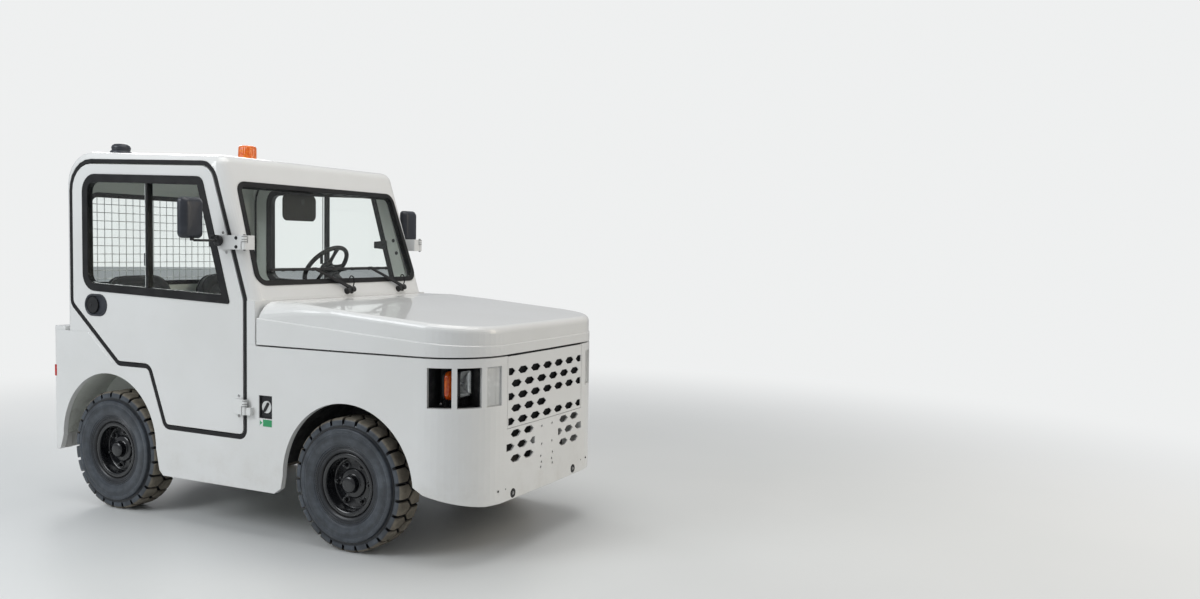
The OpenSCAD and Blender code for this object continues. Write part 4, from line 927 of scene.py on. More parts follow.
def makeWipers():
    a = math.radians(screen["lean"])
    plane = Matrix(((0, -sin(a), cos(a)), (1, 0, 0), (0, cos(a), sin(a)))).to_4x4()
    plane.translation = screen["foot"]  # X across, Y up the screen, Z outwards
    for i, (pivot, middle) in enumerate(wiper["pivots"]):
        b = Build()
        level, half = wiper["level"], (wiper["blade"][1] - wiper["blade"][0]) / 2
        clip, middle = middle, middle + sum(wiper["blade"]) / 2
        blade = [(middle + half * s, level - 0.001 + 0.0025 * s * s, 0.0078)
                 for s in [k / 12 - 1 for k in range(25)]]
        rubber = [[(x, y - 0.0036, z - 0.0017), (x, y + 0.0036, z - 0.0017), (x, y + 0.0066, z + 0.002),
                   (x, y + 0.0066, z + 0.0048), (x, y - 0.0066, z + 0.0048), (x, y - 0.0066, z + 0.002)]
                  for x, y, z in blade]
        b.tube(rubber, plane)
        b.done(f"wiper_rubber_{i + 1}", "seal", "chassis", "black_rubber", ["wipers"] if i == 0 else [])
        # claws that hold the rubber, and the long bow over them
        for s0, s1, lift in ((-0.94, -0.3, 0.0045), (0.3, 0.94, 0.0045), (-0.62, 0.62, 0.0072)):
            bow = []
            for k in range(13):
                s = s0 + (s1 - s0) * k / 12
                rise = lift * sin(pi * (0.12 + 0.76 * k / 12)) + 0.0088
                bow.append((middle + half * s, level, rise))
            rows = [[(x, y - 0.0078, z), (x, y + 0.0078, z), (x, y + 0.0062, z + 0.0034),
                     (x, y - 0.0062, z + 0.0034)] for x, y, z in bow]
            b.tube(rows, plane)
        for s in (-0.94, -0.62, -0.3, 0.3, 0.62, 0.94):
            b.block((middle + half * s - 0.009, level - 0.009, 0.0066),
                    (middle + half * s + 0.009, level + 0.009, 0.0126), plane)
        b.block((clip - 0.018, level - 0.0085, 0.0125), (clip + 0.018, level + 0.0085, 0.02), plane)
        # arm, from the pivot's head to the clip on the blade
        foot = wiper["foot"]
        run = [(pivot + (clip - pivot) * t, foot + (level - foot) * t, out)
               for t, out in ((0, 0.02), (0.1, 0.0215), (0.3, 0.023), (0.7, 0.022), (0.94, 0.02),
                              (1, 0.0185))]
        widths = (0.014, 0.0135, 0.011, 0.0092, 0.008, 0.008)
        along = (Vector((clip, level)) - Vector((pivot, foot))).normalized()
        rows = []
        for (x, y, z), w in zip(run, widths):
            nx, ny = -along.y * w, along.x * w
            rows.append([(x - nx, y - ny, z - 0.0035), (x + nx, y + ny, z - 0.0035),
                         (x + nx * 0.7, y + ny * 0.7, z + 0.0038), (x - nx * 0.7, y - ny * 0.7, z + 0.0038)])
        b.tube(rows, plane)
        head = plane @ Matrix.Translation((pivot, foot, 0))
        b.spin([(0.0215, 0.0), (0.0215, 0.003), (0.0175, 0.006), (0.016, 0.016), (0.017, 0.019),
                (0.017, 0.0265), (0.014, 0.03), (0.0, 0.031)], 28, head)
        beside = plane @ Matrix.Translation((pivot - 0.04, foot - 0.006, 0))
        b.spin([(0.019, 0.0), (0.019, 0.004), (0.0165, 0.007), (0.0165, 0.021), (0.013, 0.027),
                (0.0, 0.0285)], 28, beside)
        b.done(f"wiper_arm_{i + 1}", "blackMetal", "chassis", "black_metal", bevel=0.0006)
        loop = [(pivot + 0.008, foot + 0.01, 0.01), (pivot + 0.014, foot + 0.04, 0.026),
                (pivot + 0.008, foot + 0.068, 0.034), (pivot - 0.01, foot + 0.076, 0.034),
                (pivot - 0.024, foot + 0.062, 0.031), (pivot - 0.032, foot + 0.04, 0.027)]
        b.rod([plane @ p for p in curvePoints(loop, 5)], 0.0036, 10)
        b.done(f"washer_hose_{i + 1}", "seal", "chassis", "black_rubber", smooth=60)
    print("wipers made")


def curvePoints(points, steps):
    # smooth path through points
    points = [Vector(p) for p in points]
    padded = [points[0] * 2 - points[1]] + points + [points[-1] * 2 - points[-2]]
    found = []
    for i in range(1, len(padded) - 2):
        p0, p1, p2, p3 = padded[i - 1:i + 3]
        for k in range(steps):
            t = k / steps
            found.append(0.5 * ((2 * p1) + (p2 - p0) * t + (2 * p0 - 5 * p1 + 4 * p2 - p3) * t * t
                                + (3 * p1 - 3 * p2 + p3 - p0) * t ** 3))
    return found + [points[-1]]


# isolator switch, labels and markers

isolator = {"x": (0.1713, 0.2607), "z": (0.6313, 0.7497), "face": 0.712, "knob": (0.216, 0.69), "turn": -32}
label = {"x": (0.17, 0.262), "z": (0.588, 0.628), "face": 0.72405}
marker = {"x": -1.4345, "z": (0.738, 0.805)}


def makeSideFittings():
    i = isolator
    middle = (sum(i["x"]) / 2, -i["face"], sum(i["z"]) / 2)
    at = facing(middle, (0, -1, 0))
    w, h = i["x"][1] - i["x"][0], i["z"][1] - i["z"][0]
    b = Build()
    shell(b, plate(w, h, (0, 0.002, -0.017), (0, 0.002, 0.0068), (0.001, 0.002, 0.008), (0.007, 0.004, 0.008),
                   (0.009, 0.005, 0.0065), (0.011, 0.005, -0.0002)), at)
    for x, z in ((-0.034, 0.048), (0.034, 0.048), (-0.034, -0.048), (0.034, -0.048)):
        b.spin([(0.0048, -0.0005), (0.0048, 0.001), (0.003, 0.002), (0.0, 0.0021)], 18,
               at @ Matrix.Translation((x, z, 0)))
    b.done("isolator_plate", "plastic", "chassis", "black_plastic", ["isolator_switch"], smooth=40)
    knob = facing((i["knob"][0], -i["face"], i["knob"][1]), (0, -1, 0))
    b = Build()
    b.spin([(0.032, -0.0005), (0.032, 0.0036), (0.0308, 0.005), (0.023, 0.0056), (0.0222, 0.0048),
            (0.0, 0.0048)], 56, knob)
    b.done("isolator_dial", "whiteLabel", "chassis", "black_plastic", smooth=45)
    turned = knob @ Matrix.Rotation(math.radians(i["turn"]), 4, "Z")
    shell(b, [(0.015, 0.056, 0.006, 0.0046), (0.015, 0.056, 0.006, 0.0088), (0.013, 0.054, 0.0055, 0.01),
              (0.01, 0.05, 0.0045, 0.0104)], turned)
    b.done("isolator_grip", "plastic", "chassis", "black_plastic", smooth=45)
    at = facing((sum(label["x"]) / 2, -label["face"], sum(label["z"]) / 2), (0, -1, 0))
    w, h = label["x"][1] - label["x"][0], label["z"][1] - label["z"][0]
    b = Build()
    shell(b, plate(w, h, (0, 0.003, -0.0003), (0, 0.003, 0.0003)), at)
    b.done("isolator_label_ground", "whiteLabel", "chassis", "white_paint")
    shell(b, [(w * 0.66, h - 0.004, 0.002, 0.0), (w * 0.66, h - 0.004, 0.002, 0.0005)],
          at @ Matrix.Translation((w * 0.15, 0, 0)))
    b.prism([(-w * 0.42, -h * 0.32), (-w * 0.22, 0.0), (-w * 0.42, h * 0.32)], 0.0002, 0.0005, at)
    b.done("isolator_label_field", "label", "chassis", "white_paint")
    for side, word in bothSides:
        low, high = marker["z"]
        at = facing((marker["x"], side * body["side"], (low + high) / 2), (0, side, 0))
        b = Build()
        shell(b, [(0.018, high - low, 0.003, -0.0008), (0.018, high - low, 0.003, 0.0004),
                  (0.016, high - low - 0.002, 0.003, 0.001)], at)
        b.done(f"side_marker_{word}", "red", "chassis", "red_lens")
    print("side fittings made")


# plugs, bolts and rivets low on the nose, and the screen behind the grille

grilleScreen = {"x": (1.4445, 1.465), "half": 0.388, "z": (0.648, 0.997), "pleats": 124}
noseFittings = {"plugs": ((-0.331, 0.3155), (0.3, 0.3175)), "dots": ((0.462, 0.3487), (0.399, 0.3481))}


def noseFace(y):
    return body["nose"] - 0.009 * abs(y) / 0.706


def makeNoseFittings():
    rings, bolts, dots = Build(), Build(), Build()
    for y, z in noseFittings["plugs"]:
        at = facing((noseFace(y) - 0.0006, y, z), (1, 0, 0))
        rings.spin([(0.0235, -0.002), (0.0235, 0.0012), (0.022, 0.0026), (0.016, 0.003), (0.014, 0.0022),
                    (0.0132, 0.001), (0.0, 0.001)], 36, at)
        bolts.bolt((noseFace(y) + 0.0002, y, z), (1, 0, 0), 0.0078, 0.0034, 1.2)
    for side in (-1, 1):
        for y, z in noseFittings["dots"]:
            at = facing((noseFace(y) - 0.0018, side * y, z), (1, 0, 0))
            dots.spin([(0.0052, -0.001), (0.0052, 0.0014), (0.0036, 0.002), (0.0, 0.0021)], 16, at)
    rings.done("nose_plugs", "grip", "chassis", "black_plastic", smooth=40)

    # pleated screen in a frame behind the grille, on four spacers
    g = grilleScreen
    sheet, bars = Build(), Build()
    (x0, x1), half, (low, high) = g["x"], g["half"], g["z"]
    columns = [(x0 + 0.004 + (0.006 if k % 2 else 0.0), half * (2 * k / g["pleats"] - 1))
               for k in range(g["pleats"] + 1)]
    sheet.grid([[(x, y, low) for x, y in columns], [(x, y, high) for x, y in columns]])
    sheet.done("grille_screen", "seal", "chassis", "black_plastic", smooth=10)
    for y in (-half - 0.006, half - 0.006):
        bars.block((x0, y, low - 0.006), (x1 - 0.006, y + 0.012, high + 0.006))
    for z in (low - 0.006, high - 0.006, (low + high) / 2 - 0.006):
        bars.block((x0, -half - 0.006, z), (x1 - 0.01, half + 0.006, z + 0.012))
    for y in (-half, half):
        for z in (low + 0.02, high - 0.02):
            bars.rod([(x1 - 0.008, y, z), (x1 + 0.0005, y, z)], 0.005, 12)
    bars.done("grille_screen_frame", "blackMetal", "chassis", "black_plastic", bevel=0.0008)
    bolts.done("nose_bolts", "bolt", "chassis", "dark_steel")
    dots.done("nose_rivets", "blackMetal", "chassis", "dark_steel", smooth=50)
    print("nose fittings made")


# top of the traction battery, seen with the bonnet open

battery = {
    "x": (0.26, 1.24), "half": 0.3, "top": 0.98, "wall": 0.01, "rim": 0.99,
    "cells": (8, 3), "gap": 0.003, "lid": 0.0075, "plug": 0.015, "postAway": 0.058, "strap": 0.0062,
}


def makeBattery():
    t = battery
    (x0, x1), half, top, wall = t["x"], t["half"], t["top"], t["wall"]
    case, lids, plugs, straps = Build(), Build(), Build(), Build()
    for y in (-half, half - wall):
        case.block((x0, y, top - 0.004), (x1, y + wall, t["rim"]))
    for x in (x0, x1 - wall):
        case.block((x, wall - half, top - 0.004), (x + wall, half - wall, t["rim"]))
    for x in (x0 + wall / 2, x1 - wall / 2):
        for side in (-1, 1):
            hoop = [(x, side * 0.19 + 0.03 * cos(pi * k / 12), t["rim"] - 0.003 + 0.022 * sin(pi * k / 12))
                    for k in range(13)]
            case.rod(hoop, 0.0042, 10)
    along, across = t["cells"]
    dx, dy = (x1 - x0 - 2 * wall) / along, 2 * (half - wall) / across

    def post(i, j, side):
        return Vector((x0 + wall + (i + 0.5) * dx, wall - half + (j + 0.5) * dy + side * t["postAway"],
                       top + 0.011))

    for i in range(along):
        for j in range(across):
            middle = Matrix.Translation((*post(i, j, 0)[:2], top - 0.001))
            lids.prism(roundRect(dx - t["gap"], dy - t["gap"], 0.006), 0, t["lid"], middle, 0.02)
            plugs.spin([(0, 0.006), (t["plug"], 0.006), (t["plug"], 0.0095), (t["plug"] - 0.0015, 0.0112),
                        (0.0105, 0.0118), (0.0098, 0.0166), (0.0082, 0.0178), (0, 0.018)], 24, middle)
            for side in (-1, 1):
                at = Matrix.Translation(post(i, j, side) - Vector((0, 0, 0.006)))
                straps.spin([(0.015, 0), (0.015, 0.005), (0.0128, 0.0092), (0.009, 0.0104), (0, 0.0106)], 24,
                            at)
    links = [(post(i, j, side), post(i + 1, j, side)) for j in range(across) for i in range(along - 1)
             for side in [1 if (i + j) % 2 else -1]]
    links += [(post(along - 1, 0, 1), post(along - 1, 1, -1)), (post(0, 1, 1), post(0, 2, -1))]
    for a, b in links:
        straps.rod([a.lerp(b, k / 8) + Vector((0, 0, 0.0035 * sin(pi * k / 8))) for k in range(9)],
                   t["strap"], 10)
    case.done("battery_rim", "blackMetal", "chassis", "black_metal", bevel=0.0012)
    lids.done("battery_lids", "plastic", "chassis", "black_plastic", bevel=0.0012)
    plugs.done("battery_plugs", "plugYellow", "chassis", "black_plastic", smooth=40)
    straps.done("battery_straps", "grip", "chassis", "black_rubber", smooth=40)
    print("battery top made")


# seats, each a cushion and a back puffed up as filled covers

seat = {
    "y": 0.34, "slot": "seat_cover",
    # cushion: middle, width across, depth front to back, thickness, corner radii front and rear
    "cushionAt": (-0.911, 0.8745), "cushion": (0.452, 0.4, 0.066, 0.07, 0.04),
    # back: foot of its front face, lean in degrees, width, height, thickness, corner radii top and foot
    "backFoot": (-1.128, 0.962), "lean": 7.3, "back": (0.444, 0.368, 0.06, 0.125, 0.05),
    "border": 0.062, "channels": (-0.062, 0.0, 0.062), "voxel": 0.006, "swell": 0.013, "frames": 20,
    "crease": 0.0032,
    "cloth": {"quality": 5, "mass": 0.3, "bending_stiffness": 0.4, "uniform_pressure_force": 4},
    # irons: distance from the seat's middle, foot in x and height, height of the bend
    "irons": 0.16, "ironFoot": (-1.098, 0.864), "ironBend": 0.905,
}


def edgeDistance(x, y, width, height, radius):
    # signed distance to a rounded rectangle's edge
    dx, dy = abs(x) - width / 2 + radius, abs(y) - height / 2 + radius
    return math.hypot(max(dx, 0), max(dy, 0)) + min(max(dx, dy), 0) - radius


def padSeams(size):
    # distance from a point of a pad to its nearest seam
    width, height, thick, top, foot = size
    w, h = width - 2 * seat["border"], height - 2 * seat["border"]

    def distance(p):
        r = top if p.y > 0 else foot
        welt = math.hypot(edgeDistance(p.x, p.y, width, height, r), p.z - thick * 0.72)
        if p.z < thick * 0.6:
            return welt
        panel = abs(edgeDistance(p.x, p.y, w, h, max(r - seat["border"], 0.018)))
        lines = [abs(p.y - c) for c in seat["channels"] if abs(p.x) < w / 2 and abs(p.y) < h / 2]
        return min([welt, panel] + lines)

    return distance


def puffed(name, size):
    # a closed pad, swelled as a filled cover and drawn in at its seams
    width, height, thick, top, foot = size
    b = Build()
    rows = []
    for inset, level in ((0.07, 0.0), (0.014, 0.0), (0.004, 0.004), (0.0, 0.012), (0.0, thick * 0.66),
                         (0.0, thick * 0.78), (0.006, thick * 0.93), (0.018, thick), (0.07, thick)):
        outline = roundRect(width - 2 * inset, height - 2 * inset, max(top - inset, 0.006), 8,
                            max(foot - inset, 0.006))
        rows.append([(x, y, level) for x, y in outline])
    b.tube(rows)
    pad = bpy.data.objects.new(name, b.data(name))
    scene = bpy.context.scene
    scene.collection.objects.link(pad)
    even = pad.modifiers.new("even", "REMESH")
    even.mode, even.voxel_size = "VOXEL", seat["voxel"]
    pad.data = bpy.data.meshes.new_from_object(pad.evaluated_get(bpy.context.evaluated_depsgraph_get()))
    pad.modifiers.clear()
    seam = padSeams(size)
    start = [v.co.copy() for v in pad.data.vertices]
    near = [seam(p) for p in start]
    held = pad.vertex_groups.new(name="held")
    held.add([i for i, p in enumerate(start) if near[i] < seat["voxel"] * 0.7 or p.z < 0.006], 1.0,
             "REPLACE")
    cover = pad.modifiers.new("cover", "CLOTH")
    for label, value in seat["cloth"].items():
        setattr(cover.settings, label, value)
    cover.settings.use_pressure = True
    cover.settings.vertex_group_mass = "held"
    cover.settings.effector_weights.gravity = 0
    cover.point_cache.frame_start, cover.point_cache.frame_end = 1, seat["frames"]
    for step in range(1, seat["frames"] + 1):
        scene.frame_set(step)
    moved = pad.evaluated_get(bpy.context.evaluated_depsgraph_get()).data
    settled = [v.co.copy() for v in moved.vertices]
    pad.modifiers.clear()
    scene.frame_set(1)
    for v, a, z in zip(pad.data.vertices, start, settled):
        step = z - a
        v.co = a + step * min(1, seat["swell"] / max(step.length, 1e-9))
    normals = [n.vector.copy() for n in pad.data.vertex_normals]
    for v, n, d in zip(pad.data.vertices, normals, near):
        v.co -= n * seat["crease"] * math.exp(-(d / 0.0062) ** 2)
    result = pad.data
    result.materials.clear()
    bpy.data.objects.remove(pad)
    print(name, "puffed:", len(result.vertices), "points")
    return result


def welted(name, size, at, rides):
    # piping round a pad and stitches beside its inner seam
    width, height, thick, top, foot = size
    b = Build()
    loop = [(x, y, thick * 0.72) for x, y in roundRect(width - 0.001, height - 0.001, top, 10, foot)]
    b.rod(loop + loop[:2], 0.0034, 8, at, False)
    b.done(name + "_piping", "piping", rides, seat["slot"], smooth=60)
    level = thick - seat["crease"] + 0.0006
    w, h = width - 2 * seat["border"], height - 2 * seat["border"]
    corner = max(top - seat["border"], 0.018) + 0.006
    paths = [[Vector((x, y, level)) for x, y in roundRect(w + 0.012, h + 0.012, corner, 6, 0.024)]]
    paths[0].append(paths[0][0])
    paths += [[Vector((-w / 2 + 0.004, c, level)), Vector((w / 2 - 0.004, c, level))]
              for c in seat["channels"]]
    for path in paths:
        for a, z in zip(path, path[1:]):
            count = max(1, int((z - a).length / 0.008))
            for k in range(count):
                p, q = a.lerp(z, (k + 0.18) / count), a.lerp(z, (k + 0.82) / count)
                middle = p.lerp(q, 0.5) + Vector((0, 0, 0.0008))
                b.rod([p, middle, q], 0.0006, 5, at)
    b.done(name + "_stitches", "thread", rides, seat["slot"], smooth=60)


def makeSeats():
    cushionData = puffed("seat_cushion", seat["cushion"])
    backData = puffed("seat_back", seat["back"])
    lean = math.radians(seat["lean"])
    for side, word in bothSides:
        x, z = seat["cushionAt"]
        # local X across, Y to the front, Z up
        flat = Matrix(((0, 1, 0), (-1, 0, 0), (0, 0, 1))).to_4x4()
        at = Matrix.Translation((x, side * seat["y"], z)) @ flat
        width, depth, thick, front, rear = seat["cushion"]
        pad = finished("seat_cushion_" + word, cushionData, "cloth", "chassis", seat["slot"],
                       ["seats"] if side < 0 else [], divide=1, smooth=180, at=at)
        welted("seat_cushion_" + word, seat["cushion"], at, "chassis")
        pan = Build()
        for inset, low, high in ((0.0, -0.012, -0.0005), (0.03, -0.0132, -0.012)):
            pan.prism(roundRect(width + 0.008 - 2 * inset, depth + 0.008 - 2 * inset, front, 8, rear), low,
                      high, at)
        for y in (-0.15, 0.15):
            pan.block((y - 0.016, -depth / 2 + 0.01, -0.0134), (y + 0.016, depth / 2 - 0.02, -0.012), at)
        pan.done("seat_pan_" + word, "blackMetal", "chassis", "black_metal", bevel=0.0016)

        width, height, thick, top, foot = seat["back"]
        fx, fz = seat["backFoot"]
        out = (cos(lean), 0, sin(lean))
        up = Vector((-sin(lean), 0, cos(lean)))
        middle = Vector((fx, side * seat["y"], fz)) + up * (height / 2) - Vector(out) * thick
        at = facing(middle, out)
        pad = finished("seat_back_" + word, backData, "cloth", "chassis", seat["slot"], divide=1, smooth=180,
                       at=at)
        welted("seat_back_" + word, seat["back"], at, "chassis")
        tray = Build()
        rows = []
        for inset, level in ((-0.003, 0.004), (-0.004, -0.002), (0.0, -0.01), (0.016, -0.0165),
                             (0.05, -0.018), (0.056, -0.015), (0.075, -0.0145)):
            outline = roundRect(width - 2 * inset, height - 2 * inset, max(top - inset, 0.02), 10,
                                max(foot - inset, 0.02))
            rows.append([(px, py, level) for px, py in outline])
        tray.tube(rows, at, (False, True))
        for px in (-0.11, 0.0, 0.11):
            tray.block((px - 0.004, -0.1, -0.0175), (px + 0.004, 0.1, -0.014), at)
        tray.done("seat_shell_" + word, "plastic", "chassis", "black_plastic", smooth=45)
        irons = Build()
        (footX, footZ), bend = seat["ironFoot"], seat["ironBend"]
        for y in (-seat["irons"], seat["irons"]):
            low = Vector((footX, side * seat["y"] + y, footZ))
            high = middle - up * 0.06 - Vector(out) * 0.0235
            path = [low, low + Vector((-0.075, 0, 0.002)), (high.x - 0.012, low.y, bend),
                    (high.x, low.y, high.z)]
            rows = [[(p.x, p.y - 0.018, p.z), (p.x, p.y + 0.018, p.z),
                     (p.x + 0.0035, p.y + 0.018, p.z + 0.0035), (p.x + 0.0035, p.y - 0.018, p.z + 0.0035)]
                    for p in curvePoints(path, 5)]
            irons.tube(rows)
        irons.done("seat_irons_" + word, "blackMetal", "chassis", "black_metal")
    print("seats made")


# steering wheel

wheel = {
    "at": (-0.325, 0.33, 1.395), "tilt": 40, "ring": 0.155, "tube": 0.014, "steps": (160, 14),
    "grips": 40, "gripDepth": 0.0008, "spokes": (0, 90, 180),
    # hub: radius, distance down the column
    "hub": [(0.0, -0.015), (0.018, -0.0146), (0.0225, -0.0128), (0.0245, -0.01), (0.0255, -0.0104),
            (0.036, -0.0085), (0.0425, -0.004), (0.045, 0.003), (0.044, 0.012), (0.04, 0.022), (0.0, 0.0236)],
}


def makeSteeringWheel():
    a = math.radians(90 + wheel["tilt"])
    at = Matrix.Translation(wheel["at"]) @ Matrix.Rotation(a, 4, "Y")
    b = Build()
    rows = []
    long, short = wheel["steps"]
    for i in range(long):
        turn = 2 * pi * i / long
        row = []
        for j in range(short):
            around = 2 * pi * j / short
            dent = wheel["gripDepth"] * (1 + cos(wheel["grips"] * turn)) / 2 * max(0.0, sin(around - 0.4))
            r = wheel["tube"] - dent
            reach = wheel["ring"] - cos(around) * r
            row.append((reach * cos(turn), reach * sin(turn), sin(around) * r))
        rows.append(row)
    b.grid(rows, at, True, True)
    b.done("steering_ring", "grip", "steering_wheel", "black_plastic", ["steering_wheel"], smooth=60)
    for turn in wheel["spokes"]:
        spoke = at @ Matrix.Rotation(math.radians(turn), 4, "Z")
        rows = []
        for share in (0.0, 0.12, 0.3, 0.5, 0.7, 0.88, 1.0):
            x = 0.03 + (wheel["ring"] - 0.006 - 0.03) * share
            half = 0.0165 + 0.0085 * (2 * share - 1) ** 2
            level, thick = 0.007 * (1 - share) + 0.0005, 0.0046
            turns = [2 * pi * k / 16 for k in range(16)]
            rows.append([(x, half * cos(t), level + thick * sin(t)) for t in turns])
        b.grid(rows, spoke, True)
    b.spin(wheel["hub"], 48, at)
    b.done("steering_hub", "plastic", "steering_wheel", "black_plastic", smooth=40)
    b.spin([(0.0, -0.0172), (0.012, -0.0168), (0.0165, -0.0152), (0.0172, -0.0135), (0.0172, -0.011)], 32, at)
    b.done("horn_button", "greyPlastic", "steering_wheel", "black_plastic", smooth=50)
    b.spin([(0.0285, 0.03), (0.035, 0.031), (0.036, 0.036), (0.036, 0.09), (0.0345, 0.096), (0.0285, 0.098)],
           36, at)
    b.block((-0.01, 0.025, 0.042), (0.01, 0.046, 0.064), at)
    stalk = [(0.0, 0.04, 0.053), (0.0, 0.08, 0.05), (-0.004, 0.12, 0.044), (-0.006, 0.15, 0.04)]
    b.rod(curvePoints(stalk, 5), [0.0045] * 10 + [0.006] * 6, 12, at)
    b.done("column_switch", "plastic", "chassis", "black_plastic", bevel=0.001, smooth=40)
    print("steering wheel made")


# instruments

dash = {
    # slanted face: a point at its middle, facing
    "face": (-0.095, 1.2075), "out": (-0.618, 0.0, 0.787), "needle": 214,
    "cluster": (0.128, 0.262, 0.07), "dials": ((-0.082, 0.0245), (-0.022, 0.0245), (0.03, 0.018)),
    "switches": (0.43, 0.475, 0.52, 0.565), "key": 0.395,
    # cover: half width, then x and height along its section
    "half": 0.652, "section": [(0.104, 1.1985), (0.066, 1.2352), (0.06, 1.2366), (-0.056, 1.2366),
                               (-0.062, 1.235), (-0.065, 1.2322)],
    "vents": (-0.46, -0.16, 0.16, 0.46), "ventAt": (0.02, 1.2368), "slats": 9, "slatPitch": 0.0155,
}


def makeInstruments():
    x, z = dash["face"]
    y, w, h = dash["cluster"]
    at = facing((x, y, z), dash["out"])
    b = Build()
    shell(b, plate(w, h, (0, 0.01, 0.0002), (0, 0.01, 0.0034), (0.004, 0.009, 0.005), (0.01, 0.008, 0.005),
                   (0.012, 0.007, 0.0034)), at)
    b.done("cluster_frame", "plastic", "chassis", "black_plastic", smooth=40)
    faces, marks, rims = Build(), Build(), Build()
    for dx, r in dash["dials"]:
        here = at @ Matrix.Translation((dx, 0, 0.0034))
        rims.spin([(r + 0.001, 0.0), (r + 0.0016, 0.005), (r + 0.0006, 0.0066), (r - 0.001, 0.006),
                   (r - 0.0014, 0.0014)], 40, here)
        faces.spin([(r - 0.0012, 0.0012), (0.0, 0.0012)], 40, here)
        for k in range(13):
            a = math.radians(225 - k * 22.5)
            spot = here @ Matrix.Rotation(a, 4, "Z")
            length = 0.0046 if k % 3 == 0 else 0.0028
            marks.block((r * 0.9 - length, -0.00035, 0.0012), (r * 0.9, 0.00035, 0.0015), spot)
        needle = here @ Matrix.Rotation(math.radians(dash["needle"]), 4, "Z")
        marks.prism([(-0.004, -0.0008), (r * 0.78, -0.0002), (r * 0.78, 0.0002), (-0.004, 0.0008)], 0.002,
                    0.0025, needle)
        marks.spin([(0.0028, 0.0015), (0.0028, 0.0032), (0.0, 0.0035)], 16, here)
    rims.done("dial_rims", "plastic", "chassis", "black_plastic", smooth=40)
    faces.done("dial_faces", "dialFace", "chassis", "black_plastic")
    marks.done("dial_marks", "whiteLabel", "chassis", "black_plastic")
    lights = Build()
    for k in range(6):
        lights.spin([(0.0034, 0.003), (0.0034, 0.0046), (0.0022, 0.0056), (0.0, 0.0058)], 16,
                    at @ Matrix.Translation((0.066 + (k % 3) * 0.018, 0.012 - (k // 3) * 0.022, 0)))
    lights.done("warning_lights", "frosted", "chassis", "black_plastic", smooth=50)
    rockers = Build()
    for y in dash["switches"]:
        here = facing((x, y, z), dash["out"])
        shell(rockers, [(0.024, 0.044, 0.002, 0.0002), (0.024, 0.044, 0.002, 0.003),
                        (0.022, 0.042, 0.002, 0.004)], here)
        outline = [(-0.0195, 0.004), (0.0195, 0.004), (0.0195, 0.011), (0.002, 0.0062), (-0.0195, 0.0078)]
        turned = here @ Matrix(((0, 0, 1), (1, 0, 0), (0, 1, 0))).to_4x4()
        rockers.prism(outline, -0.0092, 0.0092, turned)
    rockers.done("dash_rockers", "plastic", "chassis", "black_plastic", bevel=0.0006)
    key = Build()
    here = facing((x, dash["key"], z), dash["out"])
    key.spin([(0.013, 0.0002), (0.013, 0.005), (0.0115, 0.0064), (0.008, 0.0064), (0.0075, 0.005),
              (0.0, 0.005)], 32, here)
    key.prism([(-0.0012, -0.005), (0.0012, -0.005), (0.0012, 0.005), (-0.0012, 0.005)], 0.005, 0.018, here)
    key.prism(roundRect(0.006, 0.026, 0.0028), 0.018, 0.04, here)
    key.done("key_switch", "bolt", "chassis", "dark_steel", smooth=40)
    cover = Build()
    cover.grid([[(px, dash["half"] * (k / 24 - 1), pz) for px, pz in dash["section"]] for k in range(49)])
    cover.done("dash_cover", "dashCover", "chassis", "black_plastic", smooth=60)
    vents = Build()
    for y in dash["vents"]:
        here = facing((dash["ventAt"][0], y, dash["ventAt"][1]), (0, 0, 1), pi / 2)
        shell(vents, [(0.15, 0.034, 0.006, -0.0006), (0.15, 0.034, 0.006, 0.0018),
                      (0.147, 0.031, 0.006, 0.0026), (0.141, 0.025, 0.005, 0.0026),
                      (0.14, 0.024, 0.005, 0.0004)], here)
        for k in range(dash["slats"]):
            middle = -0.062 + k * dash["slatPitch"]
            vents.block((middle - 0.001, -0.0115, 0.0004), (middle + 0.001, 0.0115, 0.0022), here)
    vents.done("dash_vents", "plastic", "chassis", "black_plastic", smooth=40)
    print("instruments made")


# small fittings inside the cab

visor = {
    "x": -0.179, "y": (-0.195, 0.075), "z": (1.668, 1.822), "corner": 0.034, "thick": 0.0115, "stem": -0.06,
}
# x, y, z, width, height of each pad
pedals = {"brake": (0.052, 0.3, 0.61, 0.092, 0.06), "drive": (0.06, 0.42, 0.6, 0.058, 0.13)}
pedalShaft = {"x": 0.082, "y": (0.26, 0.47), "z": 0.872, "radius": 0.009}
doorInside = {
    "bolts": ((-0.076, 1.564), (-0.05, 1.484)), "boltFace": 0.6842,
    # window catch: outline in x and height, its two faces, its knob
    "catch": [(-0.222, 1.513), (-0.128, 1.506), (-0.128, 1.564), (-0.222, 1.556)],
    "catchFaces": (0.668, 0.69), "knob": (-0.15, 1.536),
    # edge of the sliding pane, a pale strip of painted highlight, and its finger grip: opposite corners
    "edge": ((-0.69, 0.703), (-0.6845, 0.7062)),
    "grip": (((-0.704, 0.696, 1.4), (-0.683, 0.7032, 1.47)),
             ((-0.689, 0.687, 1.404), (-0.685, 0.6965, 1.466))),
    "pull": [(-0.2, 0.679, 1.13), (-0.205, 0.65, 1.13), (-0.24, 0.642, 1.12), (-0.43, 0.642, 1.085),
             (-0.465, 0.65, 1.078), (-0.47, 0.679, 1.078)],
    "pullFace": 0.6836,
}
mat = {
    "middle": (-0.222, 0, 0.495), "size": (0.6, 1.29), "ribs": 46, "pitch": 0.0275,
    "ribX": (-0.505, 0.06), "ribZ": (0.4986, 0.5006),
}


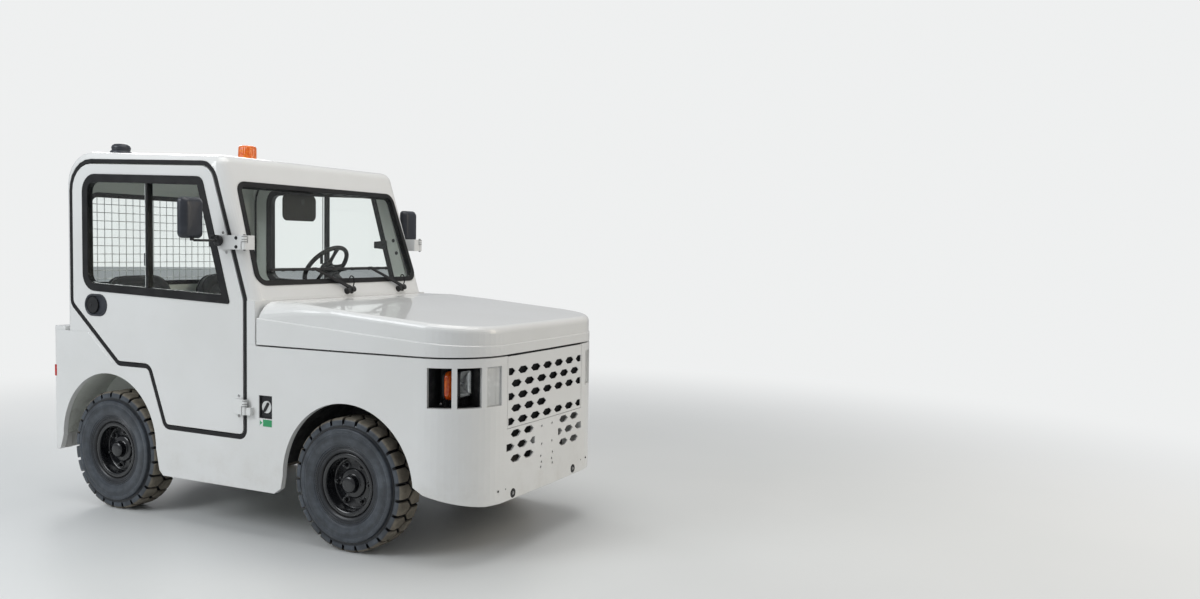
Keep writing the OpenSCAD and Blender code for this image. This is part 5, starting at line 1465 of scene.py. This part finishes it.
def makeCabFittings():
    v = visor
    middle = (v["x"], sum(v["y"]) / 2, sum(v["z"]) / 2)
    w, h, t = v["y"][1] - v["y"][0], v["z"][1] - v["z"][0], v["thick"]
    at = facing(middle, (1, 0, 0))
    b = Build()
    shell(b, plate(w, h, (0.012, v["corner"] - 0.006, -t / 2), (0.004, v["corner"] - 0.002, -t / 2 + 0.001),
                   (0, v["corner"], -t / 2 + 0.0035), (0, v["corner"], t / 2 - 0.0035),
                   (0.004, v["corner"] - 0.002, t / 2 - 0.001), (0.012, v["corner"] - 0.006, t / 2),
                   (0.06, 0.01, t / 2)), at)
    b.done("visor_pad", "visorSkin", "chassis", "black_plastic", ["sun_visor"], smooth=60)
    loop = [(x, y, t / 2 - 0.0012) for x, y in roundRect(w - 0.012, h - 0.012, v["corner"] - 0.006, 8)]
    b.rod(loop + loop[:2], 0.0011, 6, at, False)
    b.rod([(v["stem"] - middle[1], h / 2 - 0.006, 0), (v["stem"] - middle[1], h / 2 + 0.02, 0),
           (v["stem"] - middle[1], roofAt(v["x"]) - 0.0355 - middle[2], 0)], 0.0045, 12, at)
    b.rod([(-w * 0.32, h / 2 + 0.004, 0), (w * 0.42, h / 2 + 0.004, 0)], 0.0038, 10, at)
    b.spin([(0.017, t / 2 - 0.001), (0.017, t / 2 + 0.0022), (0.015, t / 2 + 0.0036), (0.011, t / 2 + 0.003),
            (0.0, t / 2 + 0.0028)], 28, at @ Matrix.Translation((0.018, 0.036, 0)))
    b.done("visor_clip", "plastic", "chassis", "black_plastic", smooth=50)

    d = doorInside
    for side, word in bothSides:
        b = Build()
        for x, z in d["bolts"]:
            b.bolt((x, side * d["boltFace"], z), (0, -side, 0), 0.008, 0.0075, 1.5)
        b.done("door_bolts_" + word, "blackMetal", "door_" + word, "black_metal")
        upright = Matrix(((1, 0, 0), (0, 0, 1), (0, 1, 0))).to_4x4()
        b.prism(d["catch"], *sorted(side * y for y in d["catchFaces"]), upright)
        x, z = d["knob"]
        b.rod([(x, side * 0.674, z), (x, side * 0.66, z)], 0.008, 14)
        b.done("window_catch_" + word, "plastic", "door_" + word, "black_plastic", bevel=0.003)
        # edge of the sliding pane, a pale strip of painted highlight, with its finger grip
        low, high = (corner[2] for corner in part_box("door_glass_" + word))
        b = Build()
        (x0, y0), (x1, y1) = d["edge"]
        b.block((x0, side * y0, low + 0.01), (x1, side * y1, high - 0.01))
        b.done("pane_edge_highlight_" + word, "frosted", "door_" + word, "glass", bevel=0.0006)
        for (x0, y0, z0), (x1, y1, z1) in d["grip"]:
            b.block((x0, side * y0, z0), (x1, side * y1, z1))
        b.done("pane_grip_" + word, "plastic", "door_" + word, "black_plastic", bevel=0.0015)
        b.rod([(x, side * y, z) for x, y, z in curvePoints(d["pull"], 6)], 0.0095, 12)
        for x, y, z in (d["pull"][0], d["pull"][-1]):
            b.spin([(0.02, 0.0), (0.02, 0.0022), (0.011, 0.004), (0.01, 0.006)], 24,
                   facing((x, side * d["pullFace"], z), (0, -side, 0)))
        b.done(f"door_pull_{word}", "grip", "door_" + word, "black_plastic", smooth=50)

    b, pads = Build(), Build()
    for x, y, z, w, h in pedals.values():
        here = facing((x, y, z), (-0.88, 0, 0.47))
        shell(pads, plate(w, h, (0, 0.008, -0.004), (0, 0.008, 0.003), (0.004, 0.007, 0.0045)), here)
        count = int(h / 0.012)
        for k in range(count):
            level = (k - (count - 1) / 2) * 0.012
            pads.block((-w / 2 + 0.007, level - 0.0022, 0.0042), (w / 2 - 0.007, level + 0.0022, 0.0068),
                       here)
        arm = [(x + 0.004, y, z), (x + 0.02, y, z + 0.1), (x + 0.022, y, z + 0.26)]
        b.rod(curvePoints(arm, 4), 0.0075, 12)
    x, z = pedalShaft["x"], pedalShaft["z"]
    b.rod([(x, y, z) for y in pedalShaft["y"]], pedalShaft["radius"], 14)
    b.done("pedal_arms", "blackMetal", "chassis", "black_metal", smooth=50)
    pads.done("pedal_pads", "seal", "chassis", "black_rubber", bevel=0.0006)
    b = Build()
    b.prism(roundRect(*mat["size"], 0.03), 0.0004, 0.0036, Matrix.Translation(mat["middle"]))
    (x0, x1), (low, high) = mat["ribX"], mat["ribZ"]
    for k in range(mat["ribs"]):
        y = (k - (mat["ribs"] - 1) / 2) * mat["pitch"]
        b.block((x0, y - 0.0055, low), (x1, y + 0.0055, high))
    b.done("floor_mat", "seal", "chassis", "black_rubber", bevel=0.0005, steps=1)
    print("cab fittings made")


# towing pin, coupling bolts and body lines

coupling = {
    "x": -1.4475, "plates": (0.4, 0.536), "pin": 0.014,
    "boltFace": -1.3995, "boltY": (-0.068, 0.068), "boltZ": (0.4395, 0.4995),
}
bodyLine = {
    "from": (-1.148, 1.006), "to": (-0.9475, 0.844), "face": 0.7242,
    # across the line, above the panel
    "section": ((-0.0065, -0.0008), (-0.0045, 0.0014), (-0.0015, 0.0024), (0.0015, 0.0024), (0.0045, 0.0014),
                (0.0065, -0.0008)),
}


def makeOuterFittings():
    x, (low, high), r = coupling["x"], coupling["plates"], coupling["pin"]
    b = Build()
    b.spin([(0.0, low - 0.03), (r * 0.55, low - 0.028), (r, low - 0.01), (r, high + 0.004),
            (0.0, high + 0.004)], 28, Matrix.Translation((x, 0, 0)))
    b.spin([(0.024, high + 0.0004), (0.024, high + 0.007), (0.0215, high + 0.009), (r, high + 0.0095),
            (r * 0.9, high + 0.03), (0.0, high + 0.032)], 28, Matrix.Translation((x, 0, 0)))
    loop = [(x, 0.02 * cos(a), high + 0.044 + 0.022 * sin(a)) for a in (2 * pi * k / 24 for k in range(25))]
    b.rod(loop, 0.0036, 10)
    b.done("towing_pin", "zinc", "chassis", "dark_steel", smooth=50)
    for y in coupling["boltY"]:
        for z in coupling["boltZ"]:
            b.bolt((coupling["boltFace"], y, z), (-1, 0, 0), 0.009, 0.008, 1.5)
    b.done("coupling_bolts", "bolt", "chassis", "dark_steel")
    for side, word in bothSides:
        (x0, z0), (x1, z1) = bodyLine["from"], bodyLine["to"]
        along = Vector((x1 - x0, 0, z1 - z0)).normalized()
        across = Vector((-along.z, 0, along.x))
        b = Build()
        rows = []
        for k in range(13):
            p = Vector((x0, 0, z0)).lerp(Vector((x1, 0, z1)), k / 12)
            edge = min(k, 12 - k, 1) * 0.5 + 0.5
            rows.append([p + across * c * edge + Vector((0, side * (bodyLine["face"] + lift), 0))
                         for c, lift in bodyLine["section"]])
        b.grid(rows)
        b.done(f"body_crease_{word}", "paint", "chassis", "white_paint", smooth=20)
    print("outer fittings made")


# rear lamps, three on each side

rearLamp = {
    "width": 0.068, "height": 0.066, "x": -1.443, "y": 0.675,
    "rows": (("tail", 0.773, "red", "red_lens"), ("turn", 0.673, "orange", "orange_lens"),
             ("reversing", 0.573, "clearLens", "lamp_glass")),
}


def makeRearLamps():
    for side, word in bothSides:
        for name, z, finish, slot in rearLamp["rows"]:
            at = facing((rearLamp["x"], side * rearLamp["y"], z), (-1, 0, 0))
            w, h = rearLamp["width"], rearLamp["height"]
            b = Build()
            shell(b, plate(w, h, (0, 0.008, 0.0), (0, 0.008, 0.005), (0.003, 0.008, 0.0064),
                           (0.008, 0.007, 0.0064), (0.009, 0.007, 0.004)), at)
            b.done(f"{name}_lamp_base_{word}", "plastic", "chassis", "black_plastic",
                   ["rear_lamps"] if (side, name) == (-1, "tail") else [])
            shell(b, [(w - 0.009, h - 0.009, 0.007, 0.003)]
                  + crown(w - 0.009, h - 0.009, 0.007, 0.0078, 0.004), at)
            for k in range(-2, 3):
                b.block((-w * 0.36, k * 0.01 - 0.0006, 0.0078),
                        (w * 0.36, k * 0.01 + 0.0006, 0.0118 - abs(k) * 0.0009), at)
            b.done(f"{name}_lamp_lens_{word}", finish, "chassis", slot, smooth=45)
    print("rear lamps made")


# ground, which fades into the backdrop between two distances

ground = {"rings": (0, 4, 12, 60), "fade": (2.2, 7.5), "rough": 0.42}


def makeGround():
    f = Finish("studioFloor", Roughness=ground["rough"])
    f.set("Base Color", f.mix(f.band(f.noise(0.5, 4), 0.3, 0.7), (0.66, 0.675, 0.67), (0.69, 0.7, 0.695)))
    f.set("Normal", f.bump(f.noise(90, 3), 0.0006, 0.15))
    far = f.band(f.radius("X", "Y"), *ground["fade"])
    seen = f.times(far, f.add("LightPath", output="Is Camera Ray"))
    glow = f.add("Emission", {"Color": (*studio["backdrop"], 1), "Strength": 1.0})
    mixed = f.add("MixShader", {0: seen, 1: f.shader.outputs[0], 2: glow})
    f.tree.links.new(mixed, f.tree.nodes["Material Output"].inputs[0])
    b = Build()
    b.spin([(r, 0) for r in ground["rings"]], 64)
    data = bpy.data.meshes.new("ground")
    b.mesh.to_mesh(data)
    b.mesh.free()
    data.materials.append(f.material)
    floor = bpy.data.objects.new("ground", data)
    bpy.context.scene.collection.objects.link(floor)
    print("ground made")


setCamera()
setLight()
finishNodes()
makeGround()
makeWheels()
makePressed()
makeCornerLamps()
makeDoorFittings()
makeHingeDetails()
makeRoofLamps()
makeWipers()
makeSideFittings()
makeNoseFittings()
makeBattery()
makeRearLamps()
makeOuterFittings()
makeSteeringWheel()
makeInstruments()
makeCabFittings()
makeSeats()
